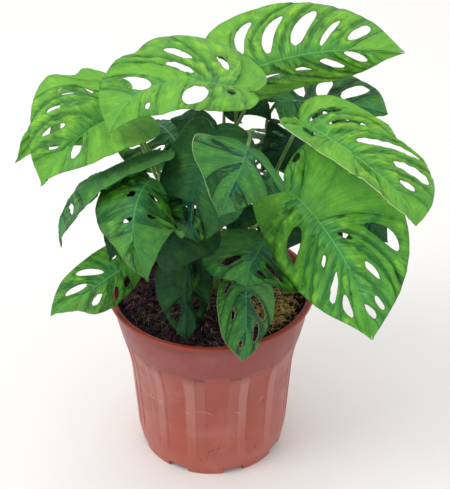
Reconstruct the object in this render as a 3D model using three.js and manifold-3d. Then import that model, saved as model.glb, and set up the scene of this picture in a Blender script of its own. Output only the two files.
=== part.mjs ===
// Monstera adansonii in a plastic nursery pot.
// Millimetres, +Z up. The origin is the pot's axis at the surface that the pot stands on, and +Y is
// the back of the plant. Every blade is a thin closed sheet with its holes cut through, joined to its
// petiole. Each petiole ends beside the stem that carries it, and the stems stand in holes in the soil.
import * as THREE from "three";
import { mergeVertices } from "three/addons/utils/BufferGeometryUtils.js";
import Module from "manifold-3d";

const wasm = await Module();
wasm.setup();

// ---------------------------------------------------------------- driving dimensions
const GAP = 0.3; // clearance between pieces that touch

const POT_HEIGHT = 136;
const RIM_RADIUS = 75;
const RIM_INNER = 70.5;
const RIM_DEPTH = 3;
const WALL = 2;
const FOOT_RADIUS = 53.5;
const FOOT_WIDTH = 5;
const FOOT_LIFT = 5.5; // height of the pot's bottom plate above the surface
const PLATE = 2;
const PAD_RADIUS = 9; // central pad under the plate, level with the feet
const PANELS = 12;
const PANEL_TURN = 4; // degrees from -Y to the middle of the front panel
const PANEL_WIDTH = 15.5; // degrees
const PANEL_BEVEL = 1.2; // degrees
const PANEL_DEPTH = 1.3;
const PANEL_LOW = 18;
const PANEL_TOP = 101.5;
const NOTCHES = 8;
const NOTCH_WIDTH = 15.5;
const NOTCH_HEIGHT = 5;
const NOTCH_TURN = 17.5; // degrees from -Y to the first notch
const DRAIN_HOLES = 6;
const DRAIN_RADIUS = 5;
const DRAIN_CIRCLE = 34;

const SOIL_TOP = 123;
const SOIL_CROWN = 2.5; // rise of the soil towards the stems
const SOIL_BUMP = 1.2;

const STEM_RADIUS = 2.8;
const STEM_SIDES = 8;
const STEM_STEPS = 7;
const STEM_DEPTH = 40; // how deep a stem stands in the soil
const PETIOLE_RADIUS = 1.3;
const PETIOLE_SIDES = 5;
const PETIOLE_STEP = 10; // length of one straight piece of a petiole
const PETIOLE_SINK = 1; // depth of the petiole's axis under the blade
const PETIOLE_RUN = 7; // length of the petiole along the underside of the midrib

const BLADE = 0.8; // thickness
const LOBE_END = 0.4; // share of the margin that belongs to the back lobe
const VEIN_SWEEP = 1.9; // how far the lateral veins lean towards the tip
const VEIN_BOW = 0.08;
const WAVE = 1.5; // height of the waves of the margin
const WAVES = 2.5; // waves along one side
const WAVE_PHASE = 0.1;
const HOLE_SIDES = 6;
const ROOT_NEAR = 0.035; // veins of the two halves closer than this share of the midrib start together

const DEG = Math.PI / 180;

// The pot's outer wall from the foot to the rim: radius and height.
const WALL_LINE = [
  [FOOT_RADIUS, 0],
  [54.6, 6],
  [56.4, PANEL_LOW - 3],
  [56.9, PANEL_LOW + 3],
  [60.6, 76],
  [62.9, 89],
  [66, PANEL_TOP - 0.5],
  [66.3, PANEL_TOP + 0.5],
  [69.4, 116],
  [71.9, POT_HEIGHT - RIM_DEPTH],
];

// ---------------------------------------------------------------- the plant
// Stems: the foot in the soil, the bend and the top of the axis.
const STEMS = [
  { name: "stem_1", foot: [4, 8], bend: [8, 10, 230], top: [14, 12, 262] },
  { name: "stem_2", foot: [-20, 2], bend: [-24, 2, 200], top: [-34, -8, 236] },
  { name: "stem_3", foot: [24, 2], bend: [28, 0, 190], top: [46, -4, 236] },
  { name: "stem_4", foot: [-4, -16], bend: [-6, -20, 165], top: [-8, -26, 196] },
  { name: "stem_5", foot: [2, 30], bend: [2, 38, 190], top: [4, 30, 236] },
];

// Rows of a blade half, from the base to the tip: one row for each panel between two lateral veins.
// A row is where the panel's middle would meet the midrib and the margin, as shares of the margin's
// length, and, where the panel has a hole, the hole's inner and outer end and its width as shares of
// the panel.
const FULL = [
  [0.07, 0.07], [0.18, 0.19], [0.31, 0.33, 0.25, 0.72, 0.45], [0.43, 0.45, 0.2, 0.78, 0.5],
  [0.55, 0.58, 0.2, 0.8, 0.5], [0.67, 0.7, 0.2, 0.76, 0.45], [0.79, 0.81, 0.2, 0.7, 0.4], [0.92, 0.92],
];
const FEW = [
  [0.1, 0.1], [0.27, 0.28], [0.42, 0.44, 0.25, 0.75, 0.4], [0.58, 0.6, 0.25, 0.75, 0.4],
  [0.74, 0.76, 0.25, 0.65, 0.35], [0.9, 0.9],
];
const WHOLE = [[0.1, 0.1], [0.27, 0.28], [0.42, 0.44], [0.58, 0.6], [0.74, 0.76], [0.9, 0.9]];

// Blades. base, crest and tip are points of the midrib, and face is the way the upper side looks.
// half, fold and curl are the half width, the droop of the half at the midrib and its further droop
// towards the margin in degrees, for the left and the right half as seen from above with the tip
// ahead. twist turns the blade from base to tip. petiole is the stem's number, the place along the
// stem, the reach away from the stem, the reach below the blade and the angle to the blade. dents are
// the places where the margin of a half steps in: share of the margin, depth and reach.
const LEAVES = [
  {
    name: "leaf_01", base: [26, 9, 305], crest: [75, 36, 305], tip: [130, 19, 313],
    face: [0.05, -0.76, 0.65], half: [53, 32], fold: [19, 37], curl: [25, 36], twist: -1,
    left: [
      [0.04, 0.18], [0.08, 0.37], [0.13, 0.48, 0.32, 0.74, 0.45], [0.41, 0.53, 0.14, 0.73, 0.38],
      [0.55, 0.58, 0.17, 0.85, 0.55], [0.7, 0.65, 0.16, 0.75, 0.23], [0.79, 0.79, 0.39, 0.88, 0.59],
      [0.84, 0.85],
    ],
    right: [
      [0.04, 0.29], [0.08, 0.57], [0.21, 0.62, 0.26, 0.45, 0.71], [0.51, 0.67, 0.31, 0.53, 0.33],
      [0.64, 0.72, 0.26, 0.68, 0.54], [0.81, 0.77, 0.06, 0.76, 0.36], [0.96, 0.93],
    ],
    petiole: [5, 0.95, 25, 22, 70],
  },
  {
    name: "leaf_02", base: [25, -32, 311], crest: [-32, -29, 315], tip: [-63, -50, 291],
    face: [0.2, -0.07, 0.98], half: [39, 57], fold: [-21, 4], curl: [40, -6], twist: -7,
    left: [
      [0.15, 0.17], [0.31, 0.3, 0.3, 0.49, 0.28], [0.47, 0.41, 0.36, 0.88, 0.83], [0.6, 0.55],
      [0.71, 0.72, 0.68, 0.84, 0.28], [0.82, 0.85], [0.92, 0.94],
    ],
    right: [
      [0.18, 0.3], [0.35, 0.35, 0.4, 0.68, 0.2], [0.41, 0.6, 0.52, 0.78, 0.42],
      [0.45, 0.65, 0.2, 0.52, 0.84], [0.55, 0.7], [0.76, 0.75, 0.04, 0.85, 0.62], [0.9, 0.8], [0.96, 0.9],
    ],
    dents: [[], [[0.58, 0.13, 0.03]]],
    petiole: [1, 0.95, 10, 10, 70],
  },
  {
    name: "leaf_03", base: [-53, 0, 277], crest: [-86, -24, 273], tip: [-111, -38, 244],
    face: [-0.35, -0.18, 0.92], half: [43, 55], fold: [-15, -40], curl: [25, 40], twist: 10,
    left: [
      [0.15, 0.15], [0.33, 0.34], [0.53, 0.54], [0.7, 0.71, 0.09, 0.71, 0.46], [0.83, 0.84], [0.93, 0.93],
    ],
    right: [
      [0.05, 0.16], [0.1, 0.35], [0.16, 0.54], [0.2, 0.62, 0.43, 0.72, 0.84],
      [0.3, 0.74, 0.35, 0.73, 0.25], [0.66, 0.79, 0.34, 0.71, 0.29], [0.79, 0.84, 0.22, 0.49, 0.36],
      [0.83, 0.89],
    ],
    dents: [[], [[0.375, 0.2, 0.035]]],
    petiole: [2, 0.8, 10, 10, 70],
  },
  {
    name: "leaf_04", base: [-64, 28, 275], crest: [-103, 36, 261], tip: [-134, 5, 236],
    face: [-0.28, -0.48, 0.83], half: [36, 20], fold: [12, 8], curl: [15, 10], twist: 0,
    left: FULL, right: FULL, petiole: [2, 0.95, 10, 10, 70],
  },
  {
    name: "leaf_05", base: [-36, -28, 265], crest: [-86, -53, 249], tip: [-97, -64, 213],
    face: [-0.73, -0.1, 0.67], half: [38, 38], fold: [1, 12], curl: [-13, 15], twist: -2,
    left: [
      [0.17, 0.14], [0.37, 0.29], [0.59, 0.47], [0.78, 0.65, 0.25, 0.76, 0.18], [0.92, 0.83],
    ],
    right: WHOLE, petiole: [1, 0.65, 10, 10, 41],
  },
  {
    name: "leaf_06", base: [-38, -59, 264], crest: [-47, -99, 253], tip: [-39, -102, 213],
    face: [-0.1, -0.89, 0.44], half: [41, 30], fold: [26, 22], curl: [28, 16], twist: 7,
    left: [
      [0.16, 0.08], [0.37, 0.24, 0.12, 0.33, 0.18], [0.58, 0.46, 0.24, 0.4, 0.18], [0.74, 0.65],
      [0.84, 0.78], [0.92, 0.9],
    ],
    right: [
      [0.12, 0.23], [0.4, 0.43, 0.11, 0.27, 0.18], [0.69, 0.57, 0.05, 0.33, 0.19], [0.76, 0.72],
      [0.8, 0.86, 0.04, 0.42, 0.84], [0.86, 0.95],
    ],
    petiole: [2, 0.95, 10, 22, 70],
  },
  {
    name: "leaf_07", base: [-40, -39, 241], crest: [-56, -60, 241], tip: [-66, -64, 202],
    face: [-0.43, -0.74, 0.52], half: [33, 26], fold: [12, 10], curl: [15, 15], twist: 0,
    left: FEW, right: FEW, petiole: [2, 0.8, 10, 22, 17],
  },
  {
    name: "leaf_08", base: [2, -42, 290], crest: [-11, -70, 247], tip: [-7, -62, 216],
    face: [-0.31, -0.69, 0.66], half: [35, 35], fold: [14, 16], curl: [14, 16], twist: -5,
    left: [
      [0.12, 0.16], [0.25, 0.37], [0.39, 0.61], [0.54, 0.85], [0.7, 0.9, 0.04, 0.12, 0.84], [0.86, 0.95],
    ],
    right: [
      [0.25, 0.2], [0.53, 0.42], [0.77, 0.63, 0.15, 0.31, 0.55], [0.9, 0.8], [0.96, 0.91],
    ],
    petiole: [1, 0.8, 10, 10, 70],
  },
  {
    name: "leaf_09", base: [24, -75, 296], crest: [18, -106, 296], tip: [6, -102, 262],
    face: [0.03, -0.83, 0.56], half: [33, 33], fold: [6, 2], curl: [26, 1], twist: 7,
    left: [
      [0.11, 0.21], [0.23, 0.44], [0.38, 0.61, 0.21, 0.6, 0.84], [0.53, 0.7], [0.69, 0.75],
      [0.82, 0.8, 0.33, 0.8, 0.36], [0.93, 0.89],
    ],
    right: [
      [0.37, 0.17], [0.48, 0.35, 0.32, 0.68, 0.36], [0.52, 0.51], [0.56, 0.66],
      [0.6, 0.79, 0.46, 0.95, 0.84], [0.69, 0.91],
    ],
    petiole: [1, 0.9, 45, 55, -10],
  },
  {
    name: "leaf_10", base: [66, 2, 253], crest: [51, -10, 259], tip: [34, -14, 241],
    face: [0, -0.5, 0.85], half: [28, 28], fold: [12, 12], curl: [15, 15], twist: 0,
    left: WHOLE, right: FEW, petiole: [1, 0.8, 10, 10, 70],
  },
  {
    name: "leaf_11", base: [58, -36, 293], crest: [108, -79, 276], tip: [127, -105, 257],
    face: [-0.21, -0.54, 0.82], half: [54, 24], fold: [26, -40], curl: [40, -26], twist: -17,
    left: [
      [0.12, 0.38], [0.17, 0.43, 0.12, 0.56, 0.6], [0.24, 0.48, 0.2, 0.58, 0.17],
      [0.47, 0.53, 0.22, 0.9, 0.42], [0.56, 0.71, 0.38, 0.91, 0.5], [0.68, 0.81, 0.26, 0.54, 0.35],
      [0.87, 0.88],
    ],
    right: [
      [0.14, 0.12], [0.32, 0.27, 0.22, 0.4, 0.4], [0.46, 0.44], [0.58, 0.57, 0.08, 0.34, 0.4],
      [0.74, 0.74], [0.9, 0.9],
    ],
    dents: [[[0.45, 0.24, 0.05]], []],
    petiole: [3, 0.95, 25, 10, 70],
  },
  {
    name: "leaf_12", base: [48, -65, 262], crest: [85, -91, 224], tip: [102, -133, 190],
    face: [0.05, -0.99, -0.1], half: [56, 54], fold: [30, 19], curl: [16, 7], twist: -7,
    left: [
      [0.12, 0.05], [0.24, 0.11, 0.61, 0.89, 0.45], [0.36, 0.22], [0.47, 0.38],
      [0.51, 0.69, 0.48, 0.88, 0.4], [0.55, 0.74, 0.11, 0.27, 0.38], [0.64, 0.79, 0.34, 0.61, 0.32],
      [0.85, 0.84, 0.54, 0.85, 0.42], [0.89, 0.89, 0.04, 0.67, 0.84], [0.93, 0.94],
    ],
    right: [
      [0.06, 0.05], [0.17, 0.1], [0.41, 0.59, 0.28, 0.83, 0.25], [0.64, 0.66, 0.29, 0.45, 0.21],
      [0.68, 0.71, 0.31, 0.79, 0.5], [0.72, 0.89, 0.46, 0.8, 0.68], [0.78, 0.95],
    ],
    petiole: [3, 0.8, 10, 10, 70],
  },
  {
    name: "leaf_13", base: [46, 37, 266], crest: [88, 57, 255], tip: [122, 23, 264],
    face: [-0.14, -0.46, 0.88], half: [39, 39], fold: [11, 12], curl: [20, 15], twist: 0,
    left: [
      [0.08, 0.08], [0.21, 0.2], [0.33, 0.31], [0.47, 0.41, 0.11, 0.52, 0.5], [0.58, 0.55, 0.08, 0.68, 0.5],
      [0.74, 0.67, 0.2, 0.92, 0.6], [0.85, 0.82], [0.95, 0.94],
    ],
    right: FEW,
    petiole: [3, 0.95, 25, 22, 70],
  },
  {
    name: "leaf_14", base: [9, 35, 264], crest: [24, 27, 278], tip: [43, 30, 254],
    face: [0, -0.5, 0.85], half: [21, 21], fold: [12, 12], curl: [15, 15], twist: 0,
    left: WHOLE, right: WHOLE, petiole: [1, 0.8, 10, 10, 17],
  },
  {
    name: "leaf_15", base: [-9, 10, 274], crest: [-13, -5, 270], tip: [-18, -6, 252],
    face: [-0.1, -0.7, 0.7], half: [17, 17], fold: [12, 12], curl: [15, 15], twist: 0,
    left: WHOLE, right: WHOLE, petiole: [1, 0.95, 10, 10, 70],
  },
  {
    name: "leaf_16", base: [-49, -29, 181], crest: [-86, -56, 169], tip: [-109, -60, 154],
    face: [0.31, -0.9, 0.29], half: [39, 20], fold: [44, 17], curl: [-5, 16], twist: -10,
    left: [
      [0.31, 0.27], [0.35, 0.32, 0.32, 0.73, 0.84], [0.39, 0.37, 0.43, 0.86, 0.36],
      [0.51, 0.5, 0.36, 0.7, 0.34], [0.74, 0.85], [0.85, 0.9], [0.93, 0.95],
    ],
    right: [
      [0.36, 0.13], [0.4, 0.31, 0.43, 0.72, 0.22], [0.44, 0.54, 0.24, 0.82, 0.37],
      [0.56, 0.79, 0.22, 0.62, 0.51], [0.83, 0.95],
    ],
    petiole: [2, 0.35, 10, 22, 17],
  },
  {
    name: "leaf_17", base: [-17, -43, 190], crest: [-17, -57, 161], tip: [-17, -62, 133],
    face: [0.06, -0.86, 0.51], half: [20, 22], fold: [12, 14], curl: [16, 18], twist: 0,
    left: [[0.1, 0.1], [0.26, 0.27], [0.42, 0.44], [0.58, 0.71, 0.36, 0.7, 0.5], [0.77, 0.84], [0.92, 0.94]],
    right: [[0.1, 0.1], [0.26, 0.27], [0.4, 0.43], [0.52, 0.56], [0.66, 0.73, 0.25, 0.78, 0.7], [0.84, 0.89]],
    petiole: [4, 0.8, 10, 10, 70],
  },
  {
    name: "leaf_18", base: [-10, -29, 208], crest: [-14, -49, 196], tip: [-17, -61, 163],
    face: [0.1, -0.85, 0.5], half: [20, 20], fold: [12, 24], curl: [15, 15], twist: 0,
    left: [[0.1, 0.1], [0.27, 0.28], [0.42, 0.44], [0.54, 0.6], [0.68, 0.8, 0.25, 0.7, 0.35], [0.88, 0.92]],
    right: WHOLE,
    petiole: [4, 0.95, 10, 10, 70],
  },
  {
    name: "leaf_19", base: [-15, -37, 226], crest: [-25, -60, 216], tip: [-31, -60, 189],
    face: [-0.2, -0.8, 0.6], half: [31, 28], fold: [12, 14], curl: [15, 15], twist: 0,
    left: WHOLE, right: WHOLE, petiole: [2, 0.65, 10, 22, 17],
  },
  {
    name: "leaf_20", base: [39, -33, 199], crest: [28, -72, 207], tip: [24, -111, 216],
    face: [0, -0.65, 0.76], half: [40, 38], fold: [13, 12], curl: [17, 15], twist: 3,
    left: FEW,
    right: [
      [0.1, 0.1], [0.27, 0.28], [0.42, 0.44], [0.56, 0.7, 0.28, 0.74, 0.4], [0.76, 0.8], [0.91, 0.92],
    ],
    petiole: [3, 0.5, 10, 22, 41],
  },
  {
    name: "leaf_21", base: [79, -5, 208], crest: [101, -22, 210], tip: [121, -32, 195],
    face: [0.2, -0.6, 0.75], half: [30, 30], fold: [12, 12], curl: [15, 15], twist: 0,
    left: FEW, right: FEW, petiole: [3, 0.8, 10, 22, 17],
  },
  {
    name: "leaf_22", base: [24, -57, 179], crest: [24, -75, 154], tip: [22, -84, 133],
    face: [0.43, -0.74, 0.52], half: [35, 24], fold: [17, -9], curl: [31, -6], twist: -13,
    left: [
      [0.06, 0.13], [0.12, 0.28], [0.19, 0.45], [0.32, 0.65, 0.12, 0.59, 0.79],
      [0.54, 0.83, 0.32, 0.69, 0.67], [0.79, 0.95],
    ],
    right: [
      [0.04, 0.15], [0.08, 0.37, 0.6, 0.76, 0.56], [0.12, 0.62], [0.34, 0.67, 0.41, 0.57, 0.68],
      [0.53, 0.72], [0.65, 0.77], [0.77, 0.82, 0.26, 0.61, 0.7], [0.89, 0.87],
    ],
    petiole: [4, 0.8, 10, 10, 70],
  },
  {
    name: "leaf_23", base: [-22, 32, 232], crest: [-45, 72, 230], tip: [-70, 98, 189],
    face: [-0.4, 0.5, 0.8], half: [38, 38], fold: [12, 12], curl: [15, 15], twist: 0,
    left: FULL, right: FULL, petiole: [5, 0.8, 10, 10, 70],
  },
  {
    name: "leaf_24", base: [12, 50, 188], crest: [14, 84, 190], tip: [8, 114, 158],
    face: [0, 0.5, 0.85], half: [34, 34], fold: [12, 12], curl: [15, 15], twist: 0,
    left: FULL, right: FULL, petiole: [5, 0.5, 10, 22, 41],
  },
  {
    name: "leaf_25", base: [38, 34, 228], crest: [64, 66, 226], tip: [92, 84, 186],
    face: [0.4, 0.5, 0.8], half: [38, 38], fold: [12, 12], curl: [15, 15], twist: 0,
    left: FULL, right: FULL, petiole: [1, 0.65, 10, 22, 17],
  },
  {
    name: "leaf_26", base: [56, 9, 194], crest: [49, -1, 187], tip: [38, -9, 164],
    face: [0.1, -0.65, 0.75], half: [25, 25], fold: [12, 12], curl: [15, 15], twist: 0,
    left: WHOLE, right: WHOLE, petiole: [3, 0.6, 10, 10, 17],
  },
  {
    name: "leaf_27", base: [22, -6, 212], crest: [20, -15, 209], tip: [14, -20, 191],
    face: [0.1, -0.65, 0.75], half: [22, 22], fold: [12, 12], curl: [15, 15], twist: 0,
    left: WHOLE, right: WHOLE, petiole: [1, 0.5, 10, 10, 17],
  },
];

// ---------------------------------------------------------------- materials
const paint = (color, roughness) => new THREE.MeshStandardMaterial({ color, roughness, metalness: 0 });
const TERRACOTTA = paint(0xb05a45, 0.5);
const PEAT = paint(0x2c1f1c, 0.95);
const STALK = paint(0x4e7d33, 0.5);
const GREENS = [0x5fa02c, 0x4f9130, 0x3c7d30, 0x2f6a2e]; // from the top of the plant down
const CANOPY_TOP = 330;
const TONE_STEP = 30;

// ---------------------------------------------------------------- solids
// A closed geometry as a solid, with its shared vertices merged.
function solidOf(geometry) {
  const bare = geometry.clone();
  bare.deleteAttribute("normal");
  bare.deleteAttribute("uv");
  const merged = mergeVertices(bare, 1e-3);
  const mesh = new wasm.Mesh({
    numProp: 3,
    vertProperties: merged.attributes.position.array,
    triVerts: new Uint32Array(merged.index.array),
  });
  return new wasm.Manifold(mesh);
}

function geometryOf(solid) {
  const mesh = solid.getMesh();
  const geometry = new THREE.BufferGeometry();
  geometry.setAttribute("position", new THREE.BufferAttribute(mesh.vertProperties, 3));
  geometry.setIndex(new THREE.BufferAttribute(mesh.triVerts, 1));
  geometry.computeVertexNormals();
  return geometry;
}

function named(name, geometry, material) {
  const mesh = new THREE.Mesh(geometry, material);
  mesh.name = name;
  return mesh;
}

// A round bar of the given number of sides along a curve.
function barAlong(curve, radius, sides, steps) {
  const section = new THREE.Shape();
  for (let i = 0; i < sides; i++) {
    const a = (2 * Math.PI * i) / sides;
    const x = radius * Math.cos(a);
    const y = radius * Math.sin(a);
    if (i === 0) {
      section.moveTo(x, y);
    } else {
      section.lineTo(x, y);
    }
  }
  section.closePath();
  return new THREE.ExtrudeGeometry(section, { steps, bevelEnabled: false, extrudePath: curve });
}

// ---------------------------------------------------------------- pot
// The turning angles of the wall's vertices: four for each panel, the middle two on the panel.
const SPOKES = [];
for (let i = 0; i < PANELS; i++) {
  const middle = -90 + PANEL_TURN + (360 / PANELS) * i;
  for (const [offset, sunk] of [[-0.5, 0], [-0.5, 1], [0.5, 1], [0.5, 0]]) {
    const bevel = sunk ? 0 : Math.sign(offset) * PANEL_BEVEL;
    SPOKES.push({ angle: (middle + offset * PANEL_WIDTH + bevel) * DEG, sunk });
  }
}

// A lathe whose vertices stand on the spokes; move returns each vertex's radius and height.
function spokeLathe(profile, move) {
  const points = profile.map(([r, z]) => new THREE.Vector2(r, z));
  const geometry = new THREE.LatheGeometry(points, SPOKES.length);
  const position = geometry.attributes.position;
  const rows = profile.length;
  for (let i = 0; i < position.count; i++) {
    const spoke = SPOKES[Math.floor(i / rows) % SPOKES.length];
    const row = i % rows;
    const [r, z] = move(profile[row][0], profile[row][1], spoke, row);
    position.setXYZ(i, r * Math.cos(spoke.angle), r * Math.sin(spoke.angle), z);
  }
  return geometry;
}

// The inner wall follows the outer wall at the wall's thickness.
const INNER_LINE = WALL_LINE.slice(2).map(([r, z]) => [r - WALL, z]);
const FLOOR = FOOT_LIFT + PLATE;

function makePot() {
  const hollow = FOOT_RADIUS - FOOT_WIDTH;
  const lip = POT_HEIGHT - RIM_DEPTH;
  const profile = [
    [0, 0],
    [PAD_RADIUS, 0],
    [PAD_RADIUS, FOOT_LIFT],
    [hollow, FOOT_LIFT],
    [hollow, 0],
    ...WALL_LINE,
    [RIM_RADIUS, lip],
    [RIM_RADIUS, POT_HEIGHT - 1],
    [RIM_RADIUS - 1, POT_HEIGHT],
    [RIM_INNER + 0.6, POT_HEIGHT],
    [RIM_INNER, POT_HEIGHT - 0.6],
    ...INNER_LINE.slice().reverse(),
    [FOOT_RADIUS - 1, FLOOR],
    [0, FLOOR],
  ];
  const wallEnd = 5 + WALL_LINE.length;
  const geometry = spokeLathe(profile, (r, z, spoke, row) => {
    const onWall = row >= 5 && row < wallEnd && z > PANEL_LOW && z < PANEL_TOP;
    return [onWall && spoke.sunk ? r - PANEL_DEPTH : r, z];
  });
  let pot = solidOf(geometry);
  for (let i = 0; i < NOTCHES; i++) {
    const a = (-90 + NOTCH_TURN + (360 / NOTCHES) * i) * DEG;
    const box = new THREE.BoxGeometry(4 * FOOT_WIDTH, NOTCH_WIDTH, 2 * NOTCH_HEIGHT);
    box.rotateZ(a);
    box.translate(FOOT_RADIUS * Math.cos(a), FOOT_RADIUS * Math.sin(a), 0);
    pot = pot.subtract(solidOf(box));
  }
  for (let i = 0; i < DRAIN_HOLES; i++) {
    const a = (2 * Math.PI * i) / DRAIN_HOLES;
    const bore = new THREE.CylinderGeometry(DRAIN_RADIUS, DRAIN_RADIUS, 3 * PLATE, 12);
    bore.rotateX(Math.PI / 2);
    bore.translate(DRAIN_CIRCLE * Math.cos(a), DRAIN_CIRCLE * Math.sin(a), FOOT_LIFT + PLATE / 2);
    pot = pot.subtract(solidOf(bore));
  }
  return named("pot", geometryOf(pot), TERRACOTTA);
}

// ---------------------------------------------------------------- soil
function soilHeight(x, y) {
  const r = Math.hypot(x, y) / RIM_INNER;
  const bump = Math.sin(x / 9 + 1) * Math.cos(y / 11) + 0.6 * Math.sin((x + y) / 6);
  return SOIL_TOP + SOIL_CROWN * (1 - r * r) + SOIL_BUMP * bump;
}

function makeSoil() {
  const wall = INNER_LINE.filter(([, z]) => z < SOIL_TOP - 3).map(([r, z]) => [r - GAP, z]);
  const profile = [
    [0, FLOOR + GAP],
    [FOOT_RADIUS - 1 - GAP, FLOOR + GAP],
    ...wall,
    [68.2 - GAP, SOIL_TOP - 1],
    [60, SOIL_TOP],
    [45, SOIL_TOP],
    [26, SOIL_TOP],
    [0, SOIL_TOP],
  ];
  const edge = 2 + wall.length;
  const geometry = spokeLathe(profile, (r, z, spoke, row) => {
    if (row < edge) {
      return [r, z];
    }
    const relief = soilHeight(r * Math.cos(spoke.angle), r * Math.sin(spoke.angle));
    return [r, r === 0 ? soilHeight(0, 0) : relief];
  });
  let soil = solidOf(geometry);
  for (const stem of STEMS) {
    const deep = STEM_DEPTH + 20;
    const radius = STEM_RADIUS + 1.5 * GAP;
    const bore = new THREE.CylinderGeometry(radius, radius, deep, 10);
    bore.rotateX(Math.PI / 2);
    bore.translate(stem.foot[0], stem.foot[1], SOIL_TOP - STEM_DEPTH - GAP + deep / 2);
    soil = soil.subtract(solidOf(bore));
  }
  return named("soil", geometryOf(soil), PEAT);
}

// ---------------------------------------------------------------- stems
// The free part of a stem's axis, from the soil to the top.
function freeStem(stem) {
  const [x, y] = stem.foot;
  const top = new THREE.Vector3(...stem.top);
  const rise = SOIL_TOP + 0.4 * (top.z - SOIL_TOP);
  const foot = new THREE.Vector3(x, y, SOIL_TOP + 1);
  const bend = new THREE.Vector3(...stem.bend);
  return new THREE.CubicBezierCurve3(foot, new THREE.Vector3(x, y, rise), bend, top);
}

function makeStem(stem) {
  const free = freeStem(stem);
  const axis = new THREE.CurvePath();
  const low = new THREE.Vector3(stem.foot[0], stem.foot[1], SOIL_TOP - STEM_DEPTH);
  axis.add(new THREE.LineCurve3(low, free.v0.clone()));
  axis.add(free);
  return named(stem.name, barAlong(axis, STEM_RADIUS, STEM_SIDES, STEM_STEPS), STALK);
}

// ---------------------------------------------------------------- blades
function cubic(a, b, c, d, t) {
  const s = 1 - t;
  return a * s * s * s + 3 * b * t * s * s + 3 * c * t * t * s + d * t * t * t;
}

// The margin of a flat blade half at a share of its length: distance along and across the midrib.
function margin(share, length, width) {
  if (share < LOBE_END) {
    const t = share / LOBE_END;
    const u = cubic(0, -0.15 * length, -0.1 * length, 0.27 * length, t);
    return [u, cubic(0, 0.22 * width, width, width, t)];
  }
  const t = (share - LOBE_END) / (1 - LOBE_END);
  const u = cubic(0.27 * length, 0.62 * length, 0.87 * length, length, t);
  return [u, cubic(width, width, 0.2 * width, 0, t)];
}

// The point of a flat blade half on the vein that meets the margin at share, out from the midrib.
function onVein(share, out, length, width) {
  const [edge, across] = margin(share, length, width);
  const root = length * share ** VEIN_SWEEP;
  const bow = VEIN_BOW * length * Math.sin(Math.PI * share) * out * (1 - out);
  return [root + (edge - root) * out - bow, across * out];
}

class Blade {
  constructor(leaf) {
    this.leaf = leaf;
    this.base = new THREE.Vector3(...leaf.base);
    this.tip = new THREE.Vector3(...leaf.tip);
    this.knee = new THREE.Vector3(...leaf.crest).multiplyScalar(2);
    this.knee.addScaledVector(this.base, -0.5).addScaledVector(this.tip, -0.5);
    this.face = new THREE.Vector3(...leaf.face).normalize();
    this.rib = new THREE.QuadraticBezierCurve3(this.base, this.knee, this.tip);
    this.rib.arcLengthDivisions = 64;
    this.length = this.rib.getLength();
  }

  // The blade's frame at a share of the midrib: along, up out of the upper side, and to the right.
  frame(t) {
    const along = this.rib.getTangent(Math.min(Math.max(t, 0), 1));
    const up = this.face.clone().addScaledVector(along, -this.face.dot(along)).normalize();
    const right = along.clone().cross(up);
    const turn = this.leaf.twist * DEG * (Math.min(Math.max(t, 0), 1) - 0.5);
    const turned = up.clone().multiplyScalar(Math.cos(turn)).addScaledVector(right, Math.sin(turn));
    right.multiplyScalar(Math.cos(turn)).addScaledVector(up, -Math.sin(turn));
    return { along, up: turned, right };
  }

  // The point of a half before it is folded and curled. A dent draws the ends of the veins in.
  flat(half, share, out) {
    const [u, v] = onVein(share, out, this.length, this.leaf.half[half]);
    let kept = 1;
    for (const [at, depth, reach] of this.leaf.dents ? this.leaf.dents[half] : []) {
      kept -= depth * out * Math.exp(-(((share - at) / reach) ** 2));
    }
    return [u, v * kept];
  }

  // The point of the middle surface on the left (-1) or right (1) half.
  point(side, share, out) {
    const half = side < 0 ? 0 : 1;
    const width = this.leaf.half[half];
    const [u, v] = this.flat(half, share, out);
    const fold = this.leaf.fold[half] * DEG;
    const curl = this.leaf.curl[half] * DEG;
    const t = u / this.length;
    const { along, up, right } = this.frame(t);
    const end = fold + (curl * v) / width;
    const reach = (width / curl) * (Math.sin(end) - Math.sin(fold));
    const ends = Math.min(1, 6 * share) * Math.min(1, 6 * (1 - share));
    const wave = WAVE * Math.sin(2 * Math.PI * (WAVES * share + WAVE_PHASE)) * out * out * ends;
    const lift = (width / curl) * (Math.cos(end) - Math.cos(fold)) + wave;
    const place = this.rib.getPoint(Math.min(Math.max(t, 0), 1));
    place.addScaledVector(along, Math.min(t, 0) * this.length);
    return place.addScaledVector(right, side * reach).addScaledVector(up, lift);
  }
}

// The bounds of a half's panels, midway between neighbouring rows: where they meet midrib and margin.
function bounds(rows) {
  const list = [[0, 0]];
  for (let i = 1; i < rows.length; i++) {
    list.push([(rows[i - 1][0] + rows[i][0]) / 2, (rows[i - 1][1] + rows[i][1]) / 2]);
  }
  list.push([1, 1]);
  return list;
}

// Bounds of the two halves that meet the midrib almost together share one point of it.
function shareRoots(lists) {
  const roots = [];
  for (const list of lists) {
    for (const bound of list) {
      const near = roots.find((root) => Math.abs(root - bound[0]) < ROOT_NEAR);
      if (near === undefined) {
        roots.push(bound[0]);
      } else {
        bound[0] = near;
      }
    }
  }
  return roots.sort((a, b) => a - b);
}

// A spot of the panel between two bounds, across from one to the other and out from the midrib, as
// its share of the margin and its share out.
function spotOf([low, high], across, out) {
  const from = low[0] + (low[1] - low[0]) * out;
  const to = high[0] + (high[1] - high[0]) * out;
  return [from + (to - from) * across, out];
}

function panelRing(panel, roots) {
  const [low, high] = panel;
  const rib = roots.filter((root) => root >= low[0] && root <= high[0]).map((root) => [root, 0]);
  const there = [spotOf(panel, 0, 1), spotOf(panel, 0, 0.5)];
  const back = [spotOf(panel, 1, 0.5), spotOf(panel, 1, 1), spotOf(panel, 0.5, 1)];
  return [...there, ...rib, ...back];
}

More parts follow.
